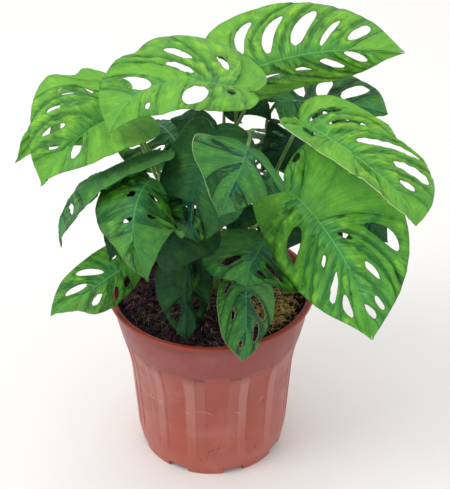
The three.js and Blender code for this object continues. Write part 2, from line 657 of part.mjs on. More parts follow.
function holeRing(panel, row) {
  const ring = [];
  const [, , from, to, width] = row;
  const half = (to - from) / 2 / Math.cos(Math.PI / HOLE_SIDES);
  for (let k = 0; k < HOLE_SIDES; k++) {
    const a = (2 * Math.PI * (k + 0.5)) / HOLE_SIDES;
    ring.push(spotOf(panel, 0.5 + (Math.sin(a) * width) / 2, (from + to) / 2 - Math.cos(a) * half));
  }
  return ring;
}

// The middle surface of a blade: points and triangles that look up, one cell for each panel.
class Sheet {
  constructor(blade) {
    this.blade = blade;
    this.points = [];
    this.triangles = [];
    this.known = new Map();
    const { left, right } = blade.leaf;
    const lists = [bounds(left), bounds(right)];
    const roots = shareRoots(lists);
    left.forEach((row, i) => this.addPanel(-1, row, lists[0].slice(i, i + 2), roots));
    right.forEach((row, i) => this.addPanel(1, row, lists[1].slice(i, i + 2), roots));
  }

  // The number of the point at a spot, shared by the panels that meet there.
  addPoint(side, [share, out]) {
    const place = this.blade.point(side, share, out);
    const key = place.toArray().map((c) => c.toFixed(2)).join();
    if (!this.known.has(key)) {
      this.known.set(key, this.points.length);
      this.points.push(place);
    }
    return this.known.get(key);
  }

  // A ring's points, each once, with their places on the flat blade.
  ringPoints(side, ring) {
    const kept = [];
    for (const spot of ring) {
      const index = this.addPoint(side, spot);
      if (!kept.some((other) => other.index === index)) {
        const flat = this.blade.flat(side < 0 ? 0 : 1, spot[0], spot[1]);
        kept.push({ index, flat: new THREE.Vector2(...flat) });
      }
    }
    return kept;
  }

  addPanel(side, row, panel, roots) {
    const outer = this.ringPoints(side, panelRing(panel, roots));
    const inner = row.length > 2 ? this.ringPoints(side, holeRing(panel, row)) : [];
    const all = [...outer, ...inner];
    const holes = inner.length ? [inner.map((spot) => spot.flat)] : [];
    const flats = outer.map((spot) => spot.flat);
    for (const corners of THREE.ShapeUtils.triangulateShape(flats, holes)) {
      const [p, q, r] = corners.map((corner) => all[corner]);
      const area = q.flat.clone().sub(p.flat).cross(r.flat.clone().sub(p.flat));
      const upward = area * side < 0;
      this.triangles.push(upward ? [p.index, q.index, r.index] : [p.index, r.index, q.index]);
    }
  }
}

// Two copies of a sheet, half the thickness to either side, closed along its open edges.
function thicken({ points, triangles }, thickness) {
  const normals = points.map(() => new THREE.Vector3());
  const open = new Map();
  for (const [a, b, c] of triangles) {
    const ab = points[b].clone().sub(points[a]);
    const ac = points[c].clone().sub(points[a]);
    const face = ab.cross(ac);
    for (const i of [a, b, c]) {
      normals[i].add(face);
    }
    for (const [i, j] of [[a, b], [b, c], [c, a]]) {
      if (open.has(j + "," + i)) {
        open.delete(j + "," + i);
      } else {
        open.set(i + "," + j, [i, j]);
      }
    }
  }
  const n = points.length;
  const array = new Float32Array(6 * n);
  points.forEach((point, i) => {
    normals[i].normalize();
    point.clone().addScaledVector(normals[i], thickness / 2).toArray(array, 3 * i);
    point.clone().addScaledVector(normals[i], -thickness / 2).toArray(array, 3 * (n + i));
  });
  const index = [];
  for (const [a, b, c] of triangles) {
    index.push(a, b, c, n + a, n + c, n + b);
  }
  for (const [i, j] of open.values()) {
    index.push(j, i, n + i, j, n + i, n + j);
  }
  const geometry = new THREE.BufferGeometry();
  geometry.setAttribute("position", new THREE.BufferAttribute(array, 3));
  geometry.setIndex(index);
  return geometry;
}

// A petiole from beside its stem to the underside of the midrib.
function petioleCurve(blade) {
  const [number, place, reach, drop, angle] = blade.leaf.petiole;
  const free = freeStem(STEMS[number - 1]);
  const root = free.getPoint(place);
  const axis = free.getTangent(place);
  const away = blade.base.clone().sub(root);
  away.addScaledVector(axis, -away.dot(axis)).normalize();
  const start = root.addScaledVector(away, STEM_RADIUS + PETIOLE_RADIUS - GAP);
  const first = start.clone().addScaledVector(away.addScaledVector(axis, 0.6).normalize(), reach);
  const { along, up } = blade.frame(0);
  const join = blade.base.clone().addScaledVector(up, -PETIOLE_SINK);
  const last = join.clone();
  last.addScaledVector(along, -drop * Math.cos(angle * DEG));
  last.addScaledVector(up, -drop * Math.sin(angle * DEG));
  const end = join.clone().addScaledVector(along, PETIOLE_RUN);
  const path = new THREE.CurvePath();
  path.add(new THREE.CubicBezierCurve3(start, first, last, join));
  path.add(new THREE.LineCurve3(join.clone(), end));
  return path;
}

function makeLeaf(leaf) {
  const blade = new Blade(leaf);
  const plate = solidOf(thicken(new Sheet(blade), BLADE));
  const curve = petioleCurve(blade);
  const steps = Math.max(3, Math.round(curve.getLength() / PETIOLE_STEP));
  const petiole = solidOf(barAlong(curve, PETIOLE_RADIUS, PETIOLE_SIDES, steps));
  const depth = Math.floor((CANOPY_TOP - leaf.crest[2]) / TONE_STEP);
  const tone = GREENS[Math.max(0, Math.min(GREENS.length - 1, depth))];
  return named(leaf.name, geometryOf(plate.add(petiole)), paint(tone, 0.45));
}

// ---------------------------------------------------------------- assembly
const plant = new THREE.Group();
plant.add(makePot());
plant.add(makeSoil());
for (const stem of STEMS) {
  plant.add(makeStem(stem));
}
for (const leaf of LEAVES) {
  plant.add(makeLeaf(leaf));
}

export default plant;
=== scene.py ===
"""A potted monstera adansonii: twenty-seven holed leaves on five stems in a plastic nursery pot.

Sizes are given in millimetres in the plans below and turned into metres when a mesh is made. +Z is up,
the origin is the pot's axis at the surface that it stands on, and -Y is the front of the plant.
"""

import logging
import math
from dataclasses import dataclass, field
from enum import Enum
from typing import Callable, Sequence

import bpy
import numpy as np
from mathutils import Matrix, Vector


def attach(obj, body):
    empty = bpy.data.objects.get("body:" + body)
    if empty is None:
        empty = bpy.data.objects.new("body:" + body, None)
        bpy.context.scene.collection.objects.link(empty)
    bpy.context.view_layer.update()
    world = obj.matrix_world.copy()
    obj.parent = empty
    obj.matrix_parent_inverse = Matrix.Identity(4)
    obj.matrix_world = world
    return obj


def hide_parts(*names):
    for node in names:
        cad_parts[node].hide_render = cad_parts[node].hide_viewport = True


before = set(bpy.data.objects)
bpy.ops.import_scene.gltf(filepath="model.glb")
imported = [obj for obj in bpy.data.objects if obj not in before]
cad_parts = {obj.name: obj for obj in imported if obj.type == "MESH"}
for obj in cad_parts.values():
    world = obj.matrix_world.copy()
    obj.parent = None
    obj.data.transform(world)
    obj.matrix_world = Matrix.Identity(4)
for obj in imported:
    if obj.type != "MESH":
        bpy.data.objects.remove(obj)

Array = np.ndarray
Pair = tuple[float, float]
Triple = tuple[float, float, float]
Colour = tuple[float, float, float]
Rows = tuple[tuple[float, ...], ...]
Material = bpy.types.Material
Piece = bpy.types.Object
Socket = bpy.types.NodeSocket

log = logging.getLogger("potted_monstera")
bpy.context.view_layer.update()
MM = 0.001
BODY = "root"

SOIL_TOP = 123.0
STEM_RADIUS = 2.8
PETIOLE_RADIUS = 1.3
GAP = 0.3


# --- the plans
class Tone(Enum):
    """How light a leaf's green is, from the young leaves on top to the old ones inside: partly their own
    colour and partly painted shade, darker for the leaves shaded inside the plant.
    """

    SUNLIT = "sunlit"
    BRIGHT = "bright"
    CLEAR = "clear"
    MIDDLE = "middle"
    DEEP = "deep"
    SHADE = "shade"


FULL = (
    (0.07, 0.07), (0.18, 0.19), (0.31, 0.33, 0.25, 0.72, 0.45), (0.43, 0.45, 0.2, 0.78, 0.5),
    (0.55, 0.58, 0.2, 0.8, 0.5), (0.67, 0.7, 0.2, 0.76, 0.45), (0.79, 0.81, 0.2, 0.7, 0.4), (0.92, 0.92),
)
FEW = (
    (0.1, 0.1), (0.27, 0.28), (0.42, 0.44, 0.25, 0.75, 0.4), (0.58, 0.6, 0.25, 0.75, 0.4),
    (0.74, 0.76, 0.25, 0.65, 0.35), (0.9, 0.9),
)
WHOLE = ((0.1, 0.1), (0.27, 0.28), (0.42, 0.44), (0.58, 0.6), (0.74, 0.76), (0.9, 0.9))


@dataclass(frozen=True)
class StemPlan:
    """A stem: its foot in the soil, the point that it bends towards, and its top."""

    name: str
    foot: Pair
    bend: Triple
    top: Triple


@dataclass(frozen=True)
class LeafPlan:
    """A leaf blade and its petiole.

    base, crest and tip are points of the midrib and face is the way the upper side looks. half, fold
    and curl are the half width, the droop at the midrib and the further droop towards the margin, for
    the left and the right half. petiole is the stem's number, the place along it, the reach away from
    it, the reach below the blade and the angle to the blade. A row of left or right is where a panel's
    middle meets the midrib and the margin, then the ends of its hole and the hole's share of its width.
    dents are the places where the margin of a half steps in: share of the margin, depth and reach.
    """

    name: str
    tone: Tone
    base: Triple
    crest: Triple
    tip: Triple
    face: Triple
    half: Pair
    petiole: tuple[float, float, float, float, float]
    fold: Pair = (12, 12)
    curl: Pair = (15, 15)
    twist: float = 0
    left: Rows = WHOLE
    right: Rows = WHOLE
    dents: tuple[tuple[Triple, ...], tuple[Triple, ...]] = ((), ())


STEMS = (
    StemPlan("stem_1", (4, 8), (8, 10, 230), (14, 12, 262)),
    StemPlan("stem_2", (-20, 2), (-24, 2, 200), (-34, -8, 236)),
    StemPlan("stem_3", (24, 2), (28, 0, 190), (46, -4, 236)),
    StemPlan("stem_4", (-4, -16), (-6, -20, 165), (-8, -26, 196)),
    StemPlan("stem_5", (2, 30), (2, 38, 190), (4, 30, 236)),
)

LEAVES = (
    LeafPlan("leaf_01", Tone.SUNLIT, (26, 9, 305), (75, 36, 305), (130, 19, 313), (0.05, -0.76, 0.65),
             (53, 32), (5, 0.95, 25, 22, 70), fold=(19, 37), curl=(25, 36), twist=-1,
             left=((0.04, 0.18), (0.08, 0.37), (0.13, 0.48, 0.32, 0.74, 0.45),
                   (0.41, 0.53, 0.14, 0.73, 0.38), (0.55, 0.58, 0.17, 0.85, 0.55),
                   (0.7, 0.65, 0.16, 0.75, 0.23), (0.79, 0.79, 0.39, 0.88, 0.59), (0.84, 0.85)),
             right=((0.04, 0.29), (0.08, 0.57), (0.21, 0.62, 0.26, 0.45, 0.71),
                    (0.51, 0.67, 0.31, 0.53, 0.33), (0.64, 0.72, 0.26, 0.68, 0.54),
                    (0.81, 0.77, 0.06, 0.76, 0.36), (0.96, 0.93))),
    LeafPlan("leaf_02", Tone.SUNLIT, (25, -32, 311), (-32, -29, 315), (-63, -50, 291), (0.2, -0.07, 0.98),
             (39, 57), (1, 0.95, 10, 10, 70), fold=(-21, 4), curl=(40, -6), twist=-7,
             dents=((), ((0.58, 0.13, 0.03),)),
             left=((0.15, 0.17), (0.31, 0.3, 0.3, 0.49, 0.28), (0.47, 0.41, 0.36, 0.88, 0.83), (0.6, 0.55),
                   (0.71, 0.72, 0.68, 0.84, 0.28), (0.82, 0.85), (0.92, 0.94)),
             right=((0.18, 0.3), (0.35, 0.35, 0.4, 0.68, 0.2), (0.41, 0.6, 0.52, 0.78, 0.42),
                    (0.45, 0.65, 0.2, 0.52, 0.84), (0.55, 0.7), (0.76, 0.75, 0.04, 0.85, 0.62), (0.9, 0.8),
                    (0.96, 0.9))),
    LeafPlan("leaf_03", Tone.SUNLIT, (-53, 0, 277), (-86, -24, 273), (-111, -38, 244), (-0.35, -0.18, 0.92),
             (43, 55), (2, 0.8, 10, 10, 70), fold=(-15, -40), curl=(25, 40), twist=10,
             dents=((), ((0.375, 0.2, 0.035),)),
             left=((0.15, 0.15), (0.33, 0.34), (0.53, 0.54), (0.7, 0.71, 0.09, 0.71, 0.46), (0.83, 0.84),
                   (0.93, 0.93)),
             right=((0.05, 0.16), (0.1, 0.35), (0.16, 0.54), (0.2, 0.62, 0.43, 0.72, 0.84),
                    (0.3, 0.74, 0.35, 0.73, 0.25), (0.66, 0.79, 0.34, 0.71, 0.29),
                    (0.79, 0.84, 0.22, 0.49, 0.36), (0.83, 0.89))),
    LeafPlan("leaf_04", Tone.SUNLIT, (-64, 28, 275), (-103, 36, 261), (-134, 5, 236), (-0.28, -0.48, 0.83),
             (36, 20), (2, 0.95, 10, 10, 70), fold=(12, 8), curl=(15, 10), left=FULL, right=FULL),
    LeafPlan("leaf_05", Tone.MIDDLE, (-36, -28, 265), (-86, -53, 249), (-97, -64, 213), (-0.73, -0.1, 0.67),
             (38, 38), (1, 0.65, 10, 10, 41), fold=(1, 12), curl=(-13, 15), twist=-2,
             left=((0.17, 0.14), (0.37, 0.29), (0.59, 0.47), (0.78, 0.65, 0.25, 0.76, 0.18), (0.92, 0.83))),
    LeafPlan("leaf_06", Tone.CLEAR, (-38, -59, 264), (-47, -99, 253), (-39, -102, 213), (-0.1, -0.89, 0.44),
             (41, 30), (2, 0.95, 10, 22, 70), fold=(26, 22), curl=(28, 16), twist=7,
             left=((0.16, 0.08), (0.37, 0.24, 0.12, 0.33, 0.18), (0.58, 0.46, 0.24, 0.4, 0.18), (0.74, 0.65),
                   (0.84, 0.78), (0.92, 0.9)),
             right=((0.12, 0.23), (0.4, 0.43, 0.11, 0.27, 0.18), (0.69, 0.57, 0.05, 0.33, 0.19),
                    (0.76, 0.72), (0.8, 0.86, 0.04, 0.42, 0.84), (0.86, 0.95))),
    LeafPlan("leaf_07", Tone.SHADE, (-40, -39, 241), (-56, -60, 241), (-66, -64, 202), (-0.43, -0.74, 0.52),
             (33, 26), (2, 0.8, 10, 22, 17), fold=(12, 10), left=FEW, right=FEW),
    LeafPlan("leaf_08", Tone.DEEP, (2, -42, 290), (-11, -70, 247), (-7, -62, 216), (-0.31, -0.69, 0.66),
             (35, 35), (1, 0.8, 10, 10, 70), fold=(14, 16), curl=(14, 16), twist=-5,
             left=((0.12, 0.16), (0.25, 0.37), (0.39, 0.61), (0.54, 0.85), (0.7, 0.9, 0.04, 0.12, 0.84),
                   (0.86, 0.95)),
             right=((0.25, 0.2), (0.53, 0.42), (0.77, 0.63, 0.15, 0.31, 0.55), (0.9, 0.8), (0.96, 0.91))),
    LeafPlan("leaf_09", Tone.MIDDLE, (24, -75, 296), (18, -106, 296), (6, -102, 262), (0.03, -0.83, 0.56),
             (33, 33), (1, 0.9, 45, 55, -10), fold=(6, 2), curl=(26, 1), twist=7,
             left=((0.11, 0.21), (0.23, 0.44), (0.38, 0.61, 0.21, 0.6, 0.84), (0.53, 0.7), (0.69, 0.75),
                   (0.82, 0.8, 0.33, 0.8, 0.36), (0.93, 0.89)),
             right=((0.37, 0.17), (0.48, 0.35, 0.32, 0.68, 0.36), (0.52, 0.51), (0.56, 0.66),
                    (0.6, 0.79, 0.46, 0.95, 0.84), (0.69, 0.91))),
    LeafPlan("leaf_10", Tone.SHADE, (66, 2, 253), (51, -10, 259), (34, -14, 241), (0, -0.5, 0.85), (28, 28),
             (1, 0.8, 10, 10, 70), right=FEW),
    LeafPlan("leaf_11", Tone.SUNLIT, (58, -36, 293), (108, -79, 276), (127, -105, 257), (-0.21, -0.54, 0.82),
             (54, 24), (3, 0.95, 25, 10, 70), fold=(26, -40), curl=(40, -26), twist=-17,
             dents=(((0.45, 0.24, 0.05),), ()),
             left=((0.12, 0.38), (0.17, 0.43, 0.12, 0.56, 0.6), (0.24, 0.48, 0.2, 0.58, 0.17),
                   (0.47, 0.53, 0.22, 0.9, 0.42), (0.56, 0.71, 0.38, 0.91, 0.5),
                   (0.68, 0.81, 0.26, 0.54, 0.35), (0.87, 0.88)),
             right=((0.14, 0.12), (0.32, 0.27, 0.22, 0.4, 0.4), (0.46, 0.44), (0.58, 0.57, 0.08, 0.34, 0.4),
                    (0.74, 0.74), (0.9, 0.9))),
    LeafPlan("leaf_12", Tone.BRIGHT, (48, -65, 262), (85, -91, 224), (102, -133, 190), (0.05, -0.99, -0.1),
             (56, 54), (3, 0.8, 10, 10, 70), fold=(30, 19), curl=(16, 7), twist=-7,
             left=((0.12, 0.05), (0.24, 0.11, 0.61, 0.89, 0.45), (0.36, 0.22), (0.47, 0.38),
                   (0.51, 0.69, 0.48, 0.88, 0.4), (0.55, 0.74, 0.11, 0.27, 0.38),
                   (0.64, 0.79, 0.34, 0.61, 0.32), (0.85, 0.84, 0.54, 0.85, 0.42),
                   (0.89, 0.89, 0.04, 0.67, 0.84), (0.93, 0.94)),
             right=((0.06, 0.05), (0.17, 0.1), (0.41, 0.59, 0.28, 0.83, 0.25),
                    (0.64, 0.66, 0.29, 0.45, 0.21), (0.68, 0.71, 0.31, 0.79, 0.5),
                    (0.72, 0.89, 0.46, 0.8, 0.68), (0.78, 0.95))),
    LeafPlan("leaf_13", Tone.MIDDLE, (46, 37, 266), (88, 57, 255), (122, 23, 264), (-0.14, -0.46, 0.88),
             (39, 39), (3, 0.95, 25, 22, 70), fold=(11, 12), curl=(20, 15), right=FEW,
             left=((0.08, 0.08), (0.21, 0.2), (0.33, 0.31), (0.47, 0.41, 0.11, 0.52, 0.5),
                   (0.58, 0.55, 0.08, 0.68, 0.5), (0.74, 0.67, 0.2, 0.92, 0.6), (0.85, 0.82), (0.95, 0.94))),
    LeafPlan("leaf_14", Tone.SHADE, (9, 35, 264), (24, 27, 278), (43, 30, 254), (0, -0.5, 0.85), (21, 21),
             (1, 0.8, 10, 10, 17)),
    LeafPlan("leaf_15", Tone.DEEP, (-9, 10, 274), (-13, -5, 270), (-18, -6, 252), (-0.1, -0.7, 0.7),
             (17, 17), (1, 0.95, 10, 10, 70)),
    LeafPlan("leaf_16", Tone.BRIGHT, (-49, -29, 181), (-86, -56, 169), (-109, -60, 154), (0.31, -0.9, 0.29),
             (39, 20), (2, 0.35, 10, 22, 17), fold=(44, 17), curl=(-5, 16), twist=-10,
             left=((0.31, 0.27), (0.35, 0.32, 0.32, 0.73, 0.84), (0.39, 0.37, 0.43, 0.86, 0.36),
                   (0.51, 0.5, 0.36, 0.7, 0.34), (0.74, 0.85), (0.85, 0.9), (0.93, 0.95)),
             right=((0.36, 0.13), (0.4, 0.31, 0.43, 0.72, 0.22), (0.44, 0.54, 0.24, 0.82, 0.37),
                    (0.56, 0.79, 0.22, 0.62, 0.51), (0.83, 0.95))),
    LeafPlan("leaf_17", Tone.SHADE, (-17, -43, 190), (-17, -57, 161), (-17, -62, 133), (0.06, -0.86, 0.51),
             (20, 22), (4, 0.8, 10, 10, 70), fold=(12, 14), curl=(16, 18),
             left=((0.1, 0.1), (0.26, 0.27), (0.42, 0.44), (0.58, 0.71, 0.36, 0.7, 0.5), (0.77, 0.84),
                   (0.92, 0.94)),
             right=((0.1, 0.1), (0.26, 0.27), (0.4, 0.43), (0.52, 0.56), (0.66, 0.73, 0.25, 0.78, 0.7),
                    (0.84, 0.89))),
    LeafPlan("leaf_18", Tone.SHADE, (-10, -29, 208), (-14, -49, 196), (-17, -61, 163), (0.1, -0.85, 0.5),
             (20, 20), (4, 0.95, 10, 10, 70), fold=(12, 24),
             left=((0.1, 0.1), (0.27, 0.28), (0.42, 0.44), (0.54, 0.6), (0.68, 0.8, 0.25, 0.7, 0.35),
                   (0.88, 0.92))),
    LeafPlan("leaf_19", Tone.SHADE, (-15, -37, 226), (-25, -60, 216), (-31, -60, 189), (-0.2, -0.8, 0.6),
             (31, 28), (2, 0.65, 10, 22, 17), fold=(12, 14)),
    LeafPlan("leaf_20", Tone.MIDDLE, (39, -33, 199), (28, -72, 207), (24, -111, 216), (0, -0.65, 0.76),
             (40, 38), (3, 0.5, 10, 22, 41), fold=(13, 12), curl=(17, 15), twist=3, left=FEW,
             right=((0.1, 0.1), (0.27, 0.28), (0.42, 0.44), (0.56, 0.7, 0.28, 0.74, 0.4), (0.76, 0.8),
                    (0.91, 0.92))),
    LeafPlan("leaf_21", Tone.DEEP, (79, -5, 208), (101, -22, 210), (121, -32, 195), (0.2, -0.6, 0.75),
             (30, 30), (3, 0.8, 10, 22, 17), left=FEW, right=FEW),
    LeafPlan("leaf_22", Tone.MIDDLE, (24, -57, 179), (24, -75, 154), (22, -84, 133), (0.43, -0.74, 0.52),
             (35, 24), (4, 0.8, 10, 10, 70), fold=(17, -9), curl=(31, -6), twist=-13,
             left=((0.06, 0.13), (0.12, 0.28), (0.19, 0.45), (0.32, 0.65, 0.12, 0.59, 0.79),
                   (0.54, 0.83, 0.32, 0.69, 0.67), (0.79, 0.95)),
             right=((0.04, 0.15), (0.08, 0.37, 0.6, 0.76, 0.56), (0.12, 0.62),
                    (0.34, 0.67, 0.41, 0.57, 0.68), (0.53, 0.72), (0.65, 0.77),
                    (0.77, 0.82, 0.26, 0.61, 0.7), (0.89, 0.87))),
    LeafPlan("leaf_23", Tone.MIDDLE, (-22, 32, 232), (-45, 72, 230), (-70, 98, 189), (-0.4, 0.5, 0.8),
             (38, 38), (5, 0.8, 10, 10, 70), left=FULL, right=FULL),
    LeafPlan("leaf_24", Tone.MIDDLE, (12, 50, 188), (14, 84, 190), (8, 114, 158), (0, 0.5, 0.85), (34, 34),
             (5, 0.5, 10, 22, 41), left=FULL, right=FULL),
    LeafPlan("leaf_25", Tone.MIDDLE, (38, 34, 228), (64, 66, 226), (92, 84, 186), (0.4, 0.5, 0.8), (38, 38),
             (1, 0.65, 10, 22, 17), left=FULL, right=FULL),
    LeafPlan("leaf_26", Tone.SHADE, (56, 9, 194), (49, -1, 187), (38, -9, 164), (0.1, -0.65, 0.75), (25, 25),
             (3, 0.6, 10, 10, 17)),
    LeafPlan("leaf_27", Tone.SHADE, (22, -6, 212), (20, -15, 209), (14, -20, 191), (0.1, -0.65, 0.75),
             (22, 22), (1, 0.5, 10, 10, 17)),
)


# --- numbers
def unit(v: Array) -> Array:
    """Vectors scaled to length one: v divided by the root of the sum of its squares."""
    return v / np.maximum(np.linalg.norm(v, axis=-1, keepdims=True), 1e-12)


def smooth(x: Array | float, low: float, high: float) -> Array:
    """The smooth step 3t^2 - 2t^3, with t the share of the way from low to high, held to 0..1."""
    t = np.clip((np.asarray(x, float) - low) / (high - low), 0.0, 1.0)
    return t * t * (3.0 - 2.0 * t)


def bezier(points: Sequence[Sequence[float]], t: Array) -> Array:
    """A quadratic or cubic Bezier curve: the sum of the points weighted by the Bernstein polynomials.

    Args:
        points: Three or four control points.
        t: Places along the curve, from 0 to 1.

    Returns:
        One point for each place.
    """
    n = len(points) - 1
    t = np.asarray(t, float)[..., None]
    return sum(math.comb(n, i) * t**i * (1 - t) ** (n - i) * np.asarray(p, float)
               for i, p in enumerate(points))


def ripples(points: Array, length: float, seed: int, waves: int = 14) -> Array:
    """Smooth seeded noise: the mean of sine waves in random directions, scaled to about -1..1.

    Args:
        points: Places in millimetres.
        length: The mean wave length in millimetres.
        seed: The seed of the directions and phases.
        waves: How many waves are summed.

    Returns:
        One value for each place.
    """
    rng = np.random.default_rng(seed)
    turns = unit(rng.normal(size=(waves, 3))) * (2 * np.pi / length) * rng.uniform(0.6, 1.6, (waves, 1))
    phase = rng.uniform(0, 2 * np.pi, waves)
    return np.sin(points @ turns.T + phase).sum(-1) / math.sqrt(waves) * 0.8


# --- meshes
@dataclass
class Shell:
    """A closed surface under construction, in millimetres.

    points is n x 3, quads m x 4 and triangles k x 3 of point numbers. finish is one number for all the
    faces and quad_finish, where there is one, a number for each quad. marks holds named arrays with one
    vector for each point.
    """

    points: Array
    quads: Array
    triangles: Array = field(default_factory=lambda: np.zeros((0, 3), int))
    finish: int = 0
    marks: dict[str, Array] = field(default_factory=dict)
    quad_finish: Array | None = None


def grid(rows: int, columns: int, closed: bool = True) -> Array:
    """The quads of a grid of points: each place, the next in its row, and the same two a row on.

    Args:
        rows: How many rows of points.
        columns: How many points in a row.
        closed: Whether the last point of a row joins the first.

    Returns:
        Four point numbers for each quad.
    """
    i, j = np.meshgrid(np.arange(rows - 1), np.arange(columns if closed else columns - 1), indexing="ij")
    k = (j + 1) % columns
    corners = [i * columns + j, i * columns + k, (i + 1) * columns + k, (i + 1) * columns + j]
    return np.stack(corners, -1).reshape(-1, 4)


def lathe(rings: Array, first: Sequence[float], last: Sequence[float], turned: bool = False) -> Shell:
    """A closed skin over rings of points, with a fan of triangles to a middle point at either end.

    Args:
        rings: rows x columns x 3 points.
        first: The middle of the first ring's fan.
        last: The middle of the last ring's fan.
        turned: Whether the faces turn the other way, for rings that run inwards or down.

    Returns:
        The skin.
    """
    rows, columns = rings.shape[:2]
    count = rows * columns
    j = np.arange(columns)
    k = np.roll(j, -1)
    ends = [(np.full(columns, count), k, j),
            (np.full(columns, count + 1), count - columns + j, count - columns + k)]
    fans = np.concatenate([np.stack(end, -1) for end in ends])
    quads = grid(rows, columns)
    if turned:
        quads, fans = quads[:, [0, 3, 2, 1]], fans[:, [0, 2, 1]]
    return Shell(np.concatenate([rings.reshape(-1, 3), [first, last]]), quads, fans)


def tube(path: Array, radius: Array, sides: int, finish: int = 0) -> Shell:
    """A closed round tube: each ring stands square to the path, turned as little as the path lets it.

    Args:
        path: n points in millimetres.
        radius: n radii.
        sides: How many sides the tube has.
        finish: The number of its finish.

    Returns:
        The tube, with its length and its turn round the path as the mark "along".
    """
    tangent = unit(np.gradient(path, axis=0))
    across = np.empty_like(path)
    across[0] = unit(np.cross(tangent[0], [0.3, 0.5, 0.81]))
    for i in range(1, len(path)):
        across[i] = unit(across[i - 1] - tangent[i] * (across[i - 1] @ tangent[i]))
    turn = np.linspace(0, 2 * np.pi, sides, endpoint=False)
    cos, sin = np.cos(turn)[:, None], np.sin(turn)[:, None]
    ring = across[:, None] * cos + np.cross(tangent, across)[:, None] * sin
    shell = lathe(path[:, None] + ring * radius[:, None, None], path[0], path[-1])
    length = np.concatenate([[0], np.cumsum(np.linalg.norm(np.diff(path, axis=0), axis=1))])
    along = np.stack(np.broadcast_arrays(length[:, None], np.cos(turn), np.sin(turn)), -1).reshape(-1, 3)
    shell.marks["along"] = np.concatenate([along, [[0, 0, 0], [length[-1], 0, 0]]])
    shell.finish = finish
    return shell


def make_piece(name: str, shells: Sequence[Shell], finishes: Sequence[Material],
               sharp: float = 180) -> Piece:
    """Joins shells into one mesh object at the origin.

    Args:
        name: The piece's name.
        shells: The closed surfaces that it consists of.
        finishes: Its materials, in the order of the shells' finish numbers.
        sharp: The angle in degrees from which an edge is drawn sharp.

    Returns:
        The object, linked to the scene.
    """
    starts = np.cumsum([0] + [len(s.points) for s in shells])
    points = np.concatenate([s.points for s in shells]) * MM
    quads = np.concatenate([s.quads + a for s, a in zip(shells, starts)])
    triangles = np.concatenate([s.triangles + a for s, a in zip(shells, starts)])
    finish = [np.full(len(s.quads), s.finish) if s.quad_finish is None else s.quad_finish for s in shells]
    finish += [np.full(len(s.triangles), s.finish) for s in shells]
    corners = np.concatenate([quads.ravel(), triangles.ravel()])
    counts = np.repeat([4, 3], [len(quads), len(triangles)])
    mesh = bpy.data.meshes.new(name)
    mesh.vertices.add(len(points))
    mesh.vertices.foreach_set("co", points.astype(np.float32).ravel())
    mesh.loops.add(len(corners))
    mesh.loops.foreach_set("vertex_index", corners.astype(np.int32))
    mesh.polygons.add(len(counts))
    mesh.polygons.foreach_set("loop_start", (np.cumsum(counts) - counts).astype(np.int32))
    mesh.polygons.foreach_set("material_index", np.concatenate(finish).astype(np.int32))
    mesh.update(calc_edges=True)
    mesh.shade_smooth()
    mesh.set_sharp_from_angle(angle=math.radians(sharp))
    for mark in sorted({key for s in shells for key in s.marks}):
        values = [s.marks.get(mark, np.zeros((len(s.points), 3))) for s in shells]
        layer = mesh.attributes.new(mark, "FLOAT_VECTOR", "POINT")
        layer.data.foreach_set("vector", np.concatenate(values).astype(np.float32).ravel())
    for material in finishes:
        mesh.materials.append(material)
    piece = bpy.data.objects.new(name, mesh)
    bpy.context.scene.collection.objects.link(piece)
    return piece


